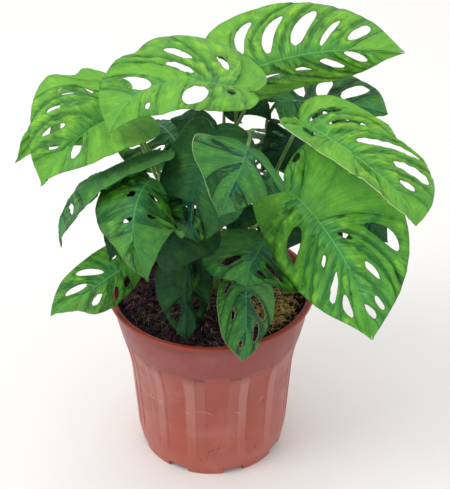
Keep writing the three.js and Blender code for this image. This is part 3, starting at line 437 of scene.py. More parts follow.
# --- finishes
class Bench:
    """Builds one node material, with short calls for the nodes that the finishes share."""

    def __init__(self, name: str, colour: Colour | Socket = (0.0, 0.0, 0.0)) -> None:
        """Starts a material with one Principled shader.

        Args:
            name: The material's name.
            colour: The colour that the coats lie on.
        """
        self.material = bpy.data.materials.new(name)
        self.material.use_nodes = True
        self.tree = self.material.node_tree
        self.shader = self.tree.nodes["Principled BSDF"]
        self.colour = colour

    def feed(self, socket: Socket, value: float | tuple | Socket) -> None:
        """Links a socket to another, or gives it a number, a vector or a colour.

        Args:
            socket: The socket that takes the value.
            value: What it takes.
        """
        if isinstance(value, Socket):
            self.tree.links.new(value, socket)
        elif isinstance(value, tuple) and len(socket.default_value) == 4:
            socket.default_value = (*value, 1.0)
        else:
            socket.default_value = value

    def add(self, kind: str, output: str | int, inputs: dict, **settings: str) -> Socket:
        """Adds a node.

        Args:
            kind: Its type, without the first word that all shader nodes share.
            output: The output that is handed back.
            inputs: What its inputs hold or are linked to.
            settings: What its own settings say.

        Returns:
            The output.
        """
        node = self.tree.nodes.new("ShaderNode" + kind)
        for key, value in settings.items():
            setattr(node, key, value)
        for key, value in inputs.items():
            self.feed(node.inputs[key], value)
        return node.outputs[output]

    def mark(self, name: str) -> Socket:
        """A mark of the mesh, as a vector."""
        return self.add("Attribute", "Vector", {}, attribute_name=name)

    def parts(self, vector: Socket) -> list[Socket]:
        """The three parts of a vector."""
        return list(self.add("SeparateXYZ", 0, {0: vector}).node.outputs)

    def place(self) -> Socket:
        """The object's own coordinates, in metres."""
        return self.add("TexCoord", "Object", {})

    def stretch(self, vector: Socket, scale: Triple) -> Socket:
        """A vector scaled along its axes."""
        return self.add("Mapping", 0, {"Vector": vector, "Scale": scale})

    def math(self, operation: str, *values: float | Socket) -> Socket:
        """A Math node's result."""
        return self.add("Math", 0, dict(enumerate(values)), operation=operation)

    def times(self, first: Socket, second: float | Socket) -> Socket:
        """The product of two values."""
        return self.math("MULTIPLY", first, second)

    def swing(self, value: Socket, weight: float) -> Socket:
        """How far a value of 0..1 lies from its middle, times a weight."""
        return self.times(self.math("SUBTRACT", value, 0.5), weight)

    def span(self, value: Socket, low: float, high: float, start: float = 0.0, end: float = 1.0) -> Socket:
        """A value carried smoothly from low..high to start..end."""
        ends = {"Value": value, "From Min": low, "From Max": high, "To Min": start, "To Max": end}
        return self.add("MapRange", 0, ends, interpolation_type="SMOOTHSTEP")

    def noise(self, size: float, detail: float = 3.0, vector: Socket | None = None,
              twist: float = 0.0) -> Socket:
        """Noise whose grains are about size millimetres across.

        Args:
            size: The size of a grain, in thousandths of the vector's unit.
            detail: How many finer layers are added.
            vector: What the noise follows, or None for the object's own coordinates.
            twist: How strongly the noise is distorted.

        Returns:
            The noise, from 0 to 1.
        """
        vector = self.place() if vector is None else vector
        inputs = {"Vector": vector, "Scale": 1000 / size, "Detail": detail, "Distortion": twist}
        return self.add("TexNoise", "Fac", inputs)

    def dots(self, size: float) -> Socket:
        """The distance from seeded points that lie about size millimetres apart."""
        inputs = {"Vector": self.place(), "Scale": 1000 / size}
        return self.add("TexVoronoi", "Distance", inputs, feature="F1")

    def blend(self, share: float | Socket, first: Colour | Socket, second: Colour | Socket) -> Socket:
        """Two colours blended by a share."""
        return self.add("Mix", 2, {"Factor": share, 6: first, 7: second}, data_type="RGBA")

    def coat(self, share: float | Socket, colour: Colour) -> None:
        """Lays a colour over the colour so far, by a share."""
        self.colour = self.blend(share, self.colour, colour)

    def bump(self, height: Socket, depth: float, strength: float) -> None:
        """Adds relief to the shader's normal.

        Args:
            height: The relief's height from 0 to 1.
            depth: Its depth in metres.
            strength: The share of it that shows.
        """
        inputs = {"Height": height, "Distance": depth, "Strength": strength}
        held = self.shader.inputs["Normal"]
        if held.is_linked:
            inputs["Normal"] = held.links[0].from_socket
        self.feed(held, self.add("Bump", 0, inputs))

    def finished(self, roughness: float | Socket, gloss: float | None = None) -> Material:
        """Sets the shader's colour and surface.

        Args:
            roughness: Its roughness.
            gloss: How strongly it mirrors, or None for a common surface.

        Returns:
            The material.
        """
        self.feed(self.shader.inputs["Base Color"], self.colour)
        self.feed(self.shader.inputs["Roughness"], roughness)
        if gloss is not None:
            self.feed(self.shader.inputs["Specular IOR Level"], gloss)
        return self.material


def rgb(red: int, green: int, blue: int) -> Colour:
    """A display colour of 0..255 as linear light: ((c + 0.055) / 1.055)^2.4 above the toe.

    Args:
        red: The red part.
        green: The green part.
        blue: The blue part.

    Returns:
        The colour.
    """
    share = np.array([red, green, blue]) / 255
    linear = np.where(share <= 0.04045, share / 12.92, ((share + 0.055) / 1.055) ** 2.4)
    return tuple(linear.tolist())


@dataclass(frozen=True)
class LeafGreen:
    """The greens of one leaf tone, worked out from its mean green in linear light."""

    mean: Colour
    gloss: float
    swing: float

    def turned(self, red: float, green: float, blue: float) -> Colour:
        """The mean green with each part multiplied by a factor to the power of the tone's swing."""
        return tuple(part * factor**self.swing for part, factor in zip(self.mean, (red, green, blue)))


# Painted light: the mean greens are partly painted shade, lighter for the leaves in the open and darker for
# those inside the plant; swing spreads a tone's darkest and lightest colours further apart.
GREENS = {
    Tone.SUNLIT: LeafGreen(rgb(101, 165, 45), 0.32, 1.05),
    Tone.BRIGHT: LeafGreen(rgb(93, 164, 48), 0.34, 1.15),
    Tone.CLEAR: LeafGreen(rgb(70, 134, 40), 0.3, 1.4),
    Tone.MIDDLE: LeafGreen(rgb(60, 120, 36), 0.22, 2.0),
    Tone.DEEP: LeafGreen(rgb(42, 90, 29), 0.14, 2.1),
    Tone.SHADE: LeafGreen(rgb(33, 70, 24), 0.1, 1.9),
}


@dataclass(frozen=True)
class LeafFinish:
    """The upper or the lower skin of a leaf. Its colours are factors on the tone's mean green.

    The mark near is in centimetres. The weights are those of fine noise, streaks and threads, added to the
    relief's height where the skin is painted with highlight and shade.
    """

    green: LeafGreen
    under: bool = False
    streak_scale: Triple = (0.034, 0.0035, 0.0)
    thread_scale: Triple = (0.11, 0.0028, 0.0)
    weights: Triple = (0.45, 0.8, 1.1)
    roughness: Pair = (0.34, 0.56)
    under_roughness: float = 0.62
    # Painted light: valley_shade is the painted shade at the bottom of the relief, slope its middle and
    # crown the painted highlight on its tops.
    valley_shade: Triple = (0.24, 0.4, 0.66)
    slope: Triple = (0.92, 0.96, 0.94)
    crown: Triple = (1.8, 1.5, 1.35)
    cloud: Triple = (0.45, 0.76, 1.6)
    # vein: painted shade along the sunk lateral veins
    vein: Triple = (0.34, 0.52, 0.9)
    # painted shade of the midrib's groove, with painted bluish reflection, on either side of the midrib
    rib_side_shade_and_sheen: Triple = (0.48, 0.82, 2.1)
    # painted glint: bluish-white streaks of reflection near the midrib
    painted_rib_glint: Triple = (1.9, 1.75, 3.6)
    rib: Triple = (1.7, 1.5, 2.2)
    edge: Triple = (0.5, 0.42, 0.55)
    underside: Triple = (1.3, 1.25, 1.9)
    rolled_edge: Colour = rgb(196, 220, 160)

    def material(self, name: str) -> Material:
        """Painted highlight on the relief's crowns and painted shade in its valleys and along the veins,
        painted shade and bluish reflection beside the midrib, painted glints near it, a pale midrib and dark
        thin edges.

        Args:
            name: The material's name.

        Returns:
            The material.
        """
        b = Bench(name, self.green.turned(*self.valley_shade))
        vein, rib, edge = b.parts(b.mark("near"))
        crown, pale, _ = b.parts(b.mark("skin"))
        streak = b.noise(1.0, 4, b.stretch(b.mark("panel"), self.streak_scale), 0.4)
        thread = b.noise(1.0, 2, b.stretch(b.mark("panel"), self.thread_scale), 0.3)
        # grain is the relief's height with noise, streaks and threads; it places the painted shade and
        # highlight below.
        grain = crown
        for lines, weight in zip((b.noise(2.6, 4, twist=0.8), streak, thread), self.weights):
            grain = b.math("ADD", grain, b.swing(lines, weight))
        # painted glint: bluish-white reflection streaks on the threads near the midrib, in patches
        painted_rib_glint = b.times(b.span(thread, 0.5, 0.7, 0.0, 0.5), b.span(rib, 2.4, 0.1))
        painted_rib_glint = b.times(painted_rib_glint, b.span(b.noise(15, 2), 0.42, 0.62, 0.25, 1.0))
        coats = (
            # painted shade in the relief's low places and painted highlight on its crowns
            (b.span(grain, 0.0, 0.55), self.slope), (b.span(grain, 0.5, 1.05), self.crown),
            (b.span(b.noise(24, 2), 0.42, 0.66, 0.0, 0.5), self.cloud),
            # painted shade along the veins
            (b.span(vein, 0.01, 0.17, 0.85, 0.0), self.vein),
            # painted shade and bluish reflection beside the midrib, then the painted glint
            (b.span(rib, 0.08, 1.1, 0.6, 0.0), self.rib_side_shade_and_sheen), (painted_rib_glint, self.painted_rib_glint),
            (b.span(rib, 0.035, 0.075, 0.6, 0.0), self.rib),
            (b.span(edge, 0.02, 0.075, 0.8, 0.0), self.edge),
        )
        for share, factors in coats:
            b.coat(share, self.green.turned(*factors))
        b.coat(b.times(b.span(edge, 0.015, 0.05, 1.0, 0.0), pale), self.rolled_edge)
        if self.under:
            b.coat(0.5, self.green.turned(*self.underside))
        b.bump(streak, 0.0012, 0.6)
        b.bump(thread, 0.0006, 0.6)
        b.bump(b.noise(2.0, 3, twist=0.8), 0.0007, 0.5)
        matt = self.under_roughness if self.under else b.span(thread, 0.3, 0.7, *self.roughness)
        return b.finished(matt, self.green.gloss)


@dataclass(frozen=True)
class StalkFinish:
    """Smooth living stems and petioles, paler in streaks."""

    body: Colour = rgb(92, 142, 56)
    streak: Colour = rgb(138, 178, 92)
    shade: Colour = rgb(66, 116, 46)
    scar: Colour = rgb(118, 112, 66)

    def material(self, name: str) -> Material:
        """Green with lengthwise streaks and a few small corky specks.

        Args:
            name: The material's name.

        Returns:
            The material.
        """
        b = Bench(name, self.body)
        flow = b.noise(1.0, 3, b.stretch(b.mark("along"), (0.00006, 0.0016, 0.0016)))
        b.coat(b.span(flow, 0.4, 0.7), self.streak)
        b.coat(b.span(b.noise(9, 2), 0.4, 0.66, 0.0, 0.5), self.shade)
        b.coat(b.span(b.noise(2.2, 2), 0.66, 0.72, 0.0, 0.5), self.scar)
        b.bump(flow, 0.0004, 0.5)
        return b.finished(0.42)


@dataclass(frozen=True)
class PotFinish:
    """Moulded terracotta-coloured plastic with a satin, slightly chalky skin. Heights are in metres."""

    # painted shade partly: the upper band is darker than the wall below it for the shade that the lip and
    # the leaves cast on it
    shaded_band: Colour = rgb(138, 62, 58)
    # the wall's lighter mauve is partly painted reflection of the pale studio
    strip: Colour = rgb(172, 108, 100)
    panel: Colour = rgb(156, 70, 56)
    low: Colour = rgb(172, 84, 66)
    lip: Colour = rgb(146, 52, 30)
    # mauve patches: partly a chalky bloom, partly painted sheen
    chalk_and_sheen: Colour = rgb(178, 116, 112)
    lip_shade: Colour = rgb(96, 40, 36)
    fold_shade: Colour = rgb(96, 42, 38)
    crease_shade: Colour = rgb(92, 44, 40)
    speck: Colour = rgb(206, 150, 138)
    dot: Colour = rgb(70, 28, 26)
    scuff: Colour = rgb(226, 180, 172)
    scratch: Colour = rgb(214, 164, 154)
    band_foot: Pair = (0.09, 0.104)
    low_end: Pair = (0.07, 0.02)
    lip_foot: Pair = (0.122, 0.132)
    fold_foot: Pair = (0.096, 0.1)
    dots_end: Pair = (0.05, 0.015)
    scratch_level: Pair = (0.061, 0.07)
    scratch_width: Pair = (0.001, 0.0002)

    def material(self, name: str) -> Material:
        """Colour by height and panel: a darker upper band that is partly painted shade, a lighter mauve wall
        and mauve patches that are partly painted reflection, the patches also a chalky bloom, painted shade
        under the lip, in the panels' folds and in the lip's crease, small dark dots near the foot and
        scuffs.

        Args:
            name: The material's name.

        Returns:
            The material.
        """
        b = Bench(name)
        place = b.place()
        height = b.parts(place)[2]
        sunk, rim, crease = b.parts(b.mark("zone"))
        # the wall below the band gets the lighter mauve, the band the darker colour that is partly painted
        # shade
        b.colour = b.blend(b.span(height, *self.band_foot), self.strip, self.shaded_band)
        b.coat(b.times(sunk, 0.9), self.panel)
        b.coat(b.span(height, *self.low_end, 0.0, 0.85), self.low)
        # patches of mauve, partly chalky bloom and partly painted sheen, weaker on the band
        chalk_and_sheen_patches = b.span(b.noise(30, 3, twist=0.6), 0.46, 0.7, 0.0, 0.4)
        b.coat(b.times(chalk_and_sheen_patches, b.span(height, *self.band_foot, 1.0, 0.45)), self.chalk_and_sheen)
        b.coat(b.span(height, *self.lip_foot, 0.0, 0.45), self.lip_shade)
        fold = b.times(b.span(sunk, 0.05, 0.4), b.span(sunk, 0.95, 0.6))
        b.coat(b.times(fold, b.span(height, *self.fold_foot, 0.1, 0.6)), self.fold_shade)
        b.coat(b.times(rim, 0.95), self.lip)
        b.coat(b.times(crease, 0.6), self.crease_shade)
        grain = b.noise(0.9, 3)
        b.coat(b.span(grain, 0.6, 0.74, 0.0, 0.14), self.speck)
        dots = b.times(b.span(b.dots(7), 0.08, 0.13, 1.0, 0.0), b.span(height, *self.dots_end, 0.15, 1.0))
        b.coat(b.times(dots, 0.8), self.dot)
        scuff = b.noise(1.0, 5, b.stretch(place, (0.14, 0.14, 0.7)), 1.4)
        level = b.math("SUBTRACT", height, b.span(b.noise(16, 3), 0.2, 0.8, *self.scratch_level))
        line = b.span(b.math("ABSOLUTE", level), *self.scratch_width)
        line = b.times(line, b.span(b.noise(9, 2), 0.44, 0.56, 0.0, 0.6))
        b.coat(b.times(b.span(scuff, 0.66, 0.74, 0.0, 0.4), line), self.scuff)
        b.coat(b.times(line, 0.6), self.scratch)
        b.bump(grain, 0.00012, 0.4)
        b.bump(b.noise(26, 2), 0.0006, 0.3)
        return b.finished(b.span(b.noise(20, 3), 0.3, 0.7, 0.34, 0.46), 0.42)


@dataclass(frozen=True)
class PeatFinish:
    """Dark peat with purple-brown crumbs."""

    deep: Colour = rgb(22, 12, 18)
    crumb: Colour = rgb(74, 50, 62)
    light: Colour = rgb(158, 128, 134)

    def material(self, name: str) -> Material:
        """Nearly black peat, lighter on its crumbs, with rough relief.

        Args:
            name: The material's name.

        Returns:
            The material.
        """
        b = Bench(name, self.deep)
        b.coat(b.span(b.noise(3, 5, twist=0.7), 0.4, 0.7), self.crumb)
        b.coat(b.span(b.noise(1.2, 4), 0.6, 0.74, 0.0, 0.7), self.light)
        b.bump(b.noise(1.4, 5), 0.0012, 0.9)
        return b.finished(0.95, 0.2)


@dataclass(frozen=True)
class LitterFinish:
    """Root fibres, straw and moss on the soil: two colours in patches along the pieces."""

    first: Colour
    second: Colour

    def material(self, name: str) -> Material:
        """One colour in patches over the other, with fine relief.

        Args:
            name: The material's name.

        Returns:
            The material.
        """
        b = Bench(name, self.first)
        b.coat(b.span(b.noise(4, 3), 0.38, 0.62), self.second)
        b.bump(b.noise(0.8, 3), 0.0003, 0.5)
        return b.finished(0.8)


@dataclass(frozen=True)
class FloorFinish:
    """A matt pale floor."""

    colour: Colour = (0.9, 0.9, 0.9)
    mottle: Colour = (0.8, 0.79, 0.78)

    def material(self, name: str) -> Material:
        """One even matt colour with the faintest mottle.

        Args:
            name: The material's name.

        Returns:
            The material.
        """
        b = Bench(name, self.colour)
        b.coat(b.span(b.noise(300, 2), 0.3, 0.7, 0.0, 0.05), self.mottle)
        return b.finished(0.9, 0.1)


# --- the pot
@dataclass
class NurseryPot:
    """The moulded pot: a wall with twelve sunk panels, a turned lip and a notched foot ring.

    Turns, widths and bevels of the panels are in degrees, the notches' width is in millimetres.
    """

    height: float = 136.0
    rim_radius: float = 75.0
    rim_inner: float = 71.0
    rim_depth: float = 3.0
    wall: float = 2.0
    foot_radius: float = 53.5
    foot_width: float = 5.0
    foot_lift: float = 5.5
    plate: float = 2.0
    pad_radius: float = 9.0
    panels: int = 12
    panel_turn: float = 4.0
    panel_width: float = 15.5
    panel_bevel: float = 1.0
    panel_depth: float = 1.3
    pair_turn: float = 15.0
    pair_depth: float = 0.55
    panel_low: float = 18.0
    panel_top: float = 101.5
    notches: int = 8
    notch_width: float = 15.5
    notch_height: float = 5.0
    notch_turn: float = 17.5
    drains: int = 6
    drain_radius: float = 5.0
    drain_circle: float = 34.0
    columns: int = 420
    foot_heights: tuple[float, ...] = (0.0, 0.5, 1.2, 2.5, 5.0)
    rim_rounds: Triple = (0.7, 1.2, 1.4)
    line: tuple[Pair, ...] = (
        (53.5, 0), (54.6, 6), (56.4, 15), (56.9, 21), (60.6, 76), (62.9, 89), (66, 101), (66.3, 102),
        (69.4, 116), (71.9, 133),
    )

    @property
    def floor(self) -> float:
        """The height of the plate's upper side."""
        return self.foot_lift + self.plate

    @property
    def notch_half(self) -> float:
        """Half the width of a notch in degrees."""
        return math.degrees(self.notch_width / 2 / self.foot_radius)

    def outer(self, z: Array) -> Array:
        """The outer wall's radius: straight between the line's points, rounded by a mean over 5 mm.

        Args:
            z: Heights.

        Returns:
            One radius for each height.
        """
        radius, height = np.array(self.line).T
        level = np.clip(np.asarray(z, float)[..., None] + np.linspace(-2.4, 2.4, 13), 0, height[-1])
        return np.interp(level, height, radius).mean(-1)

    def turns(self) -> Array:
        """The angles of the grid's columns, even but for a close pair at every edge of a notch.

        Returns:
            Angles in degrees, rising.
        """
        even = np.linspace(-180, 180, self.columns, endpoint=False)
        middles = -90 + self.notch_turn + 360 / self.notches * np.arange(self.notches)
        edges = np.concatenate([middles - self.notch_half, middles + self.notch_half])
        edges = (edges + 180) % 360 - 180
        far = np.abs((even[:, None] - edges + 180) % 360 - 180).min(1) > 0.3
        return np.sort(np.concatenate([even[far], edges - 0.03, edges + 0.03]))

    def sunk(self, angle: Array, z: Array) -> Array:
        """How far a place of the wall lies in a panel: 1 inside, with a smooth bevel at its edges.

        Args:
            angle: Angles in degrees.
            z: Heights.

        Returns:
            Shares of the panel's depth. Between the two panels of a pair the share is pair_depth.
        """
        step = 360 / self.panels
        turn = angle + 90 - self.panel_turn + step / 2
        off = np.abs(turn % step - step / 2)
        half = self.panel_width / 2
        side = 1 - smooth(off, half - 0.1, half + self.panel_bevel)
        between = np.abs((turn + self.pair_turn) % (2 * step) - step) < step / 2
        side = np.where(between, np.maximum(side, self.pair_depth), side)
        high = 1 - smooth(z, self.panel_top - 0.9, self.panel_top + 0.3)
        return side * high * smooth(z, self.panel_low - 8, self.panel_low + 16)

    def notched(self, angle: Array) -> Array:
        """1 over a notch of the foot ring and 0 beside it, for angles in degrees."""
        step = 360 / self.notches
        return (np.abs((angle + 90 - self.notch_turn + step / 2) % step - step / 2) < self.notch_half) * 1.0

    def profile(self) -> tuple[Array, Array, Array]:
        """The section from the pad over the foot, the wall and the lip to the middle of the floor.

        Returns:
            Radius and height of each point, whether it lies on the outer wall, and whether it lies there
            or on the underside of the foot ring.
        """
        hollow, lift, pad = self.foot_radius - self.foot_width, self.foot_lift, self.pad_radius
        lip, top, rim = self.height - self.rim_depth, self.height, self.rim_radius
        z = np.concatenate([self.foot_heights, np.linspace(6, 97, 38), np.linspace(98, 104, 16),
                            np.linspace(105, lip - 0.6, 12)])
        wall = np.stack([self.outer(z), z], 1)
        wall[0, 0] -= 0.5
        under = [(wall[-1, 0] + 0.5, lip - 0.1), (rim - 0.8, lip)]
        below, above, inside = self.rim_rounds
        middles = ((rim - below, lip + below), (rim - above, top - above),
                   (self.rim_inner + inside, top - inside))
        rounds = []
        for quarter, (middle, radius) in enumerate(zip(middles, self.rim_rounds)):
            a = np.pi / 2 * (quarter - 1) + np.linspace(0, np.pi / 2, 7)
            rounds.append(middle + radius * np.stack([np.cos(a), np.sin(a)], 1))
        inner_z = np.concatenate([np.linspace(top - 2.2, 100, 10), np.linspace(97, 16, 10)])
        inner = np.stack([np.minimum(self.outer(inner_z) - self.wall, self.rim_inner), inner_z], 1)
        start = [(0.01, 0), (pad - 0.4, 0), (pad, 0.4), (pad, lift - 0.5), (pad + 0.6, lift), (20, lift),
                 (hollow - 0.5, lift), (hollow, lift - 0.4), (hollow, 0.5), (hollow + 0.5, 0)]
        end = [(self.foot_radius - 0.6, self.floor + 2), (self.foot_radius - 1.6, self.floor),
               (20, self.floor), (0.01, self.floor)]
        points = np.concatenate([start, wall, under, *rounds, inner, end])
        number = np.arange(len(points)) - len(start)
        below_lip = number < len(wall)
        return points, (number >= 0) & below_lip, (number >= -2) & below_lip

    def build(self) -> Piece:
        """The pot as a grid of profile and turning angle, then bored.

        Returns:
            The piece. Radius = profile radius - panel depth * sunk(angle, height); under a notch each
            point of the foot ring is lifted to the notch's height.
        """
        line, outer, outer_or_foot = self.profile()
        radius, angle = np.meshgrid(line[:, 0], self.turns(), indexing="ij")
        z = line[:, 1:]
        radius = radius - self.panel_depth * np.where(outer[:, None], self.sunk(angle, z), 0.0)
        lifted = np.maximum(z, self.notched(angle) * self.notch_height)
        z = np.where(outer_or_foot[:, None] & (z < self.notch_height), lifted, z)
        turn = np.radians(angle)
        rings = np.stack([radius * np.cos(turn), radius * np.sin(turn), z], -1)
        shell = lathe(rings, (0, 0, 0), (0, 0, self.floor))
        piece = make_piece("pot_moulding", [shell], [PotFinish().material("pot_plastic")], 32)
        self.bore(piece)
        self.zones(piece)
        return piece

    def zones(self, piece: Piece) -> None:
        """Writes the mark zone: how far a point lies in a panel, on the lip, and in the lip's crease.

        Args:
            piece: The pot.
        """
        flat = np.empty(len(piece.data.vertices) * 3)
        piece.data.vertices.foreach_get("co", flat)
        x, y, z = flat.reshape(-1, 3).T / MM
        radius = np.hypot(x, y)
        outside = radius > self.outer(z) - self.panel_depth - 0.4
        inset = self.sunk(np.degrees(np.arctan2(y, x)), z) * outside
        lip = self.height - self.rim_depth
        rim = smooth(z, lip - 0.4, lip + 0.2) * smooth(radius, self.rim_inner - 3, self.rim_inner - 1.5)
        crease = smooth(z, lip - 2.2, lip - 0.6) * (1 - smooth(z, lip + 0.1, lip + 0.7)) * outside
        mark = piece.data.attributes.new("zone", "FLOAT_VECTOR", "POINT")
        mark.data.foreach_set("vector", np.stack([inset, rim, crease], -1).ravel())

    def bore(self, piece: Piece) -> None:
        """Cuts the drain holes through the plate with one boolean modifier, and applies it.

        Args:
            piece: The pot.
        """
        cuts = []
        for a in 2 * np.pi * np.arange(self.drains) / self.drains:
            x, y = self.drain_circle * math.cos(a), self.drain_circle * math.sin(a)
            path = np.array([[x, y, self.foot_lift - 3], [x, y, self.floor + 3]])
            cuts.append(tube(path, np.full(2, self.drain_radius), 40))
        cutter = make_piece("drain_cutter", cuts, [])
        modifier = piece.modifiers.new("drains", "BOOLEAN")
        modifier.object = cutter
        modifier.operation = "DIFFERENCE"
        modifier.solver = "EXACT"
        graph = bpy.context.evaluated_depsgraph_get()
        bored = bpy.data.meshes.new_from_object(piece.evaluated_get(graph))
        piece.modifiers.clear()
        piece.data = bored
        bpy.data.objects.remove(cutter)


# --- the soil
@dataclass(frozen=True)
class Patch:
    """Fibres that wander over the soil from a middle outwards.

    spread is the standard deviation of their starts, length and thick are the least and the greatest
    length and radius, and lift is how high their arcs stand over the peat.
    """

    count: int
    middle: Pair
    spread: float
    length: Pair
    thick: Pair
    lift: float
    seed: int


@dataclass
class Soil:
    """Peat in the pot, with crumbs, root fibres, straw and a little moss on top.

    grains are the height, length and seed of the ground's ripples. crumb_gamma is the shape and scale
    of the crumbs' sizes, which are held to crumb_limits.
    """

    crown: float = 2.5
    swell: float = 1.2
    grains: tuple[tuple[float, float, int], ...] = ((0.7, 9.0, 3), (0.45, 4.0, 4), (0.3, 2.0, 5))
    reach: float = 71.0
    radius: float = 67.9
    rings: int = 84
    columns: int = 280
    crumb_count: int = 1500
    crumb_gamma: Pair = (2.2, 0.42)
    crumb_limits: Pair = (0.35, 2.6)
    crumb_stretch: Pair = (0.6, 1.25)
    crumb_dents: Pair = (0.75, 1.15)
    crumb_seed: int = 7
    side: tuple[Pair, ...] = (
        (66.9, 116.0), (63.4, 99.0), (60.4, 88.0), (58.1, 75.0), (54.4, 21.0), (52.2, 8.0), (0.05, 7.8),
    )
    fibres: tuple[Patch, ...] = (Patch(420, (0, -8), 34, (5, 22), (0.1, 0.26), 1.6, 11),)
    straws: tuple[Patch, ...] = (
        Patch(330, (47, -14), 11, (3, 12), (0.22, 0.5), 2.0, 12),
        Patch(60, (14, -40), 20, (3, 9), (0.15, 0.35), 1.2, 13),
    )
    tufts: tuple[Pair, ...] = ((-49, -22), (-44, -30), (22, -52), (38, -6), (-20, -40))
    tuft_count: int = 26
    tuft_spread: float = 2.6
    tuft_lean: float = 0.9
    tuft_height: Pair = (1.0, 2.6)
    tuft_radius: float = 0.32
    tuft_seed: int = 31
    fibre_look: LitterFinish = LitterFinish(rgb(158, 118, 116), rgb(86, 56, 62))
    straw_look: LitterFinish = LitterFinish(rgb(214, 184, 112), rgb(138, 114, 60))
    moss_look: LitterFinish = LitterFinish(rgb(118, 146, 56), rgb(66, 96, 36))

    def height(self, x: Array, y: Array) -> Array:
        """The surface: a low dome, two long waves, and seeded ripples of three lengths.

        Args:
            x: Places along x.
            y: Places along y.

        Returns:
            One height for each place.
        """
        r = np.hypot(x, y) / self.reach
        wave = np.sin(x / 9 + 1) * np.cos(y / 11) + 0.6 * np.sin((x + y) / 6)
        place = np.stack([x, y, np.zeros_like(x)], -1)
        grain = sum(high * ripples(place, length, seed) for high, length, seed in self.grains)
        return SOIL_TOP + self.crown * (1 - r * r) + self.swell * wave + grain

    def ground(self) -> Shell:
        """The body of peat: a polar grid on top, the wall inside the pot and the underside.

        Returns:
            The closed body.
        """
        side = np.array(self.side)
        r = np.concatenate([[0.05], np.linspace(0.8, self.radius, self.rings - 1), side[:, 0]])
        angles = np.linspace(0, 2 * np.pi, self.columns, endpoint=False)
        radius, angle = np.meshgrid(r, angles, indexing="ij")
        x, y = radius * np.cos(angle), radius * np.sin(angle)
        top = self.height(x[:self.rings], y[:self.rings])
        rings = np.stack([x, y, np.concatenate([top, np.repeat(side[:, 1:], self.columns, 1)])], -1)
        return lathe(rings, rings[0].mean(0), (0, 0, side[-1, 1]), True)

    def crumbs(self) -> Shell:
        """Lumps of peat: eight-sided balls of three rings, stretched and dented at random.

        Returns:
            All the lumps.
        """
        rng, count = np.random.default_rng(self.crumb_seed), self.crumb_count
        r = (self.radius - 1.5) * np.sqrt(rng.uniform(0, 1, count))
        a = rng.uniform(0, 2 * np.pi, count)
        x, y = r * np.cos(a), r * np.sin(a)
        size = rng.gamma(*self.crumb_gamma, count).clip(*self.crumb_limits)
        centre = np.stack([x, y, self.height(x, y) + 0.25 * size], -1)
        lat, lon = np.meshgrid(np.radians([-45.0, 0.0, 45.0]), np.linspace(0, 2 * np.pi, 8, endpoint=False),
                               indexing="ij")
        rings = np.stack([np.cos(lat) * np.cos(lon), np.cos(lat) * np.sin(lon), np.sin(lat)], -1)
        ball = lathe(rings, (0, 0, -1), (0, 0, 1))
        corners = len(ball.points)
        lumps = ball.points * rng.uniform(*self.crumb_stretch, (count, 1, 3))
        lumps = lumps * rng.uniform(*self.crumb_dents, (count, corners, 1))
        points = (centre[:, None] + lumps * size[:, None, None]).reshape(-1, 3)
        shift = corners * np.arange(count)[:, None, None]
        return Shell(points, (ball.quads + shift).reshape(-1, 4), (ball.triangles + shift).reshape(-1, 3))

    def strands(self, patch: Patch) -> list[Shell]:
        """The fibres of a patch, without those that would reach the pot's wall.

        Args:
            patch: The patch.

        Returns:
            The fibres. Each runs s * length from its start, on a heading that turns with s, and lies on
            the ground's height plus an arc of 1 - 4s^2.
        """
        rng = np.random.default_rng(patch.seed)
        s = np.linspace(-0.5, 0.5, 9)
        shells = []
        while len(shells) < patch.count:
            start = rng.normal(patch.middle, patch.spread, 2)
            heading = rng.uniform(0, 2 * np.pi)
            reach = rng.uniform(*patch.length)
            turn = heading + rng.normal(0, 0.9) * s
            x = start[0] + reach * s * np.cos(turn)
            y = start[1] + reach * s * np.sin(turn)
            if np.hypot(x, y).max() > self.radius - 1.0:
                continue
            arc = patch.lift * rng.uniform(0.1, 1.0) * (1 - 4 * s * s)
            z = self.height(x, y) + 0.25 + arc + rng.normal(0, 0.15, 9)
            radius = rng.uniform(*patch.thick) * (1 - 0.8 * np.abs(2 * s) ** 3)
            shells.append(tube(np.stack([x, y, z], -1), radius, 5))
        return shells

    def moss(self) -> list[Shell]:
        """Tufts of moss: short upright strands round each middle.

        Returns:
            The strands. Each leans evenly from its foot and thins to a quarter of its radius.
        """
        rng = np.random.default_rng(self.tuft_seed)
        s = np.linspace(0, 1, 4)
        shells = []
        for middle in np.repeat(self.tufts, self.tuft_count, 0):
            x, y = rng.normal(middle, self.tuft_spread)
            base = self.height(x, y) - 0.2
            lean = rng.normal(0, self.tuft_lean, 2)
            height = base + rng.uniform(*self.tuft_height) * s
            path = np.stack([x + lean[0] * s, y + lean[1] * s, height], -1)
            shells.append(tube(path, self.tuft_radius * (1 - 0.75 * s), 4))
        return shells

    def build(self) -> list[Piece]:
        """The ground and everything that lies on it.

        Returns:
            The pieces, the ground first.
        """
        peat = PeatFinish().material("peat")
        fibres, straws = (sum(map(self.strands, patches), []) for patches in (self.fibres, self.straws))
        litter = (
            ("root_fibres", "fibre", fibres, self.fibre_look),
            ("straw", "straw", straws, self.straw_look),
            ("moss_tufts", "moss", self.moss(), self.moss_look),
        )
        pieces = [make_piece("peat_bed", [self.ground()], [peat]),
                  make_piece("peat_crumbs", [self.crumbs()], [peat])]
        for name, look, shells, finish in litter:
            pieces.append(make_piece(name, shells, [finish.material(look)]))
        return pieces


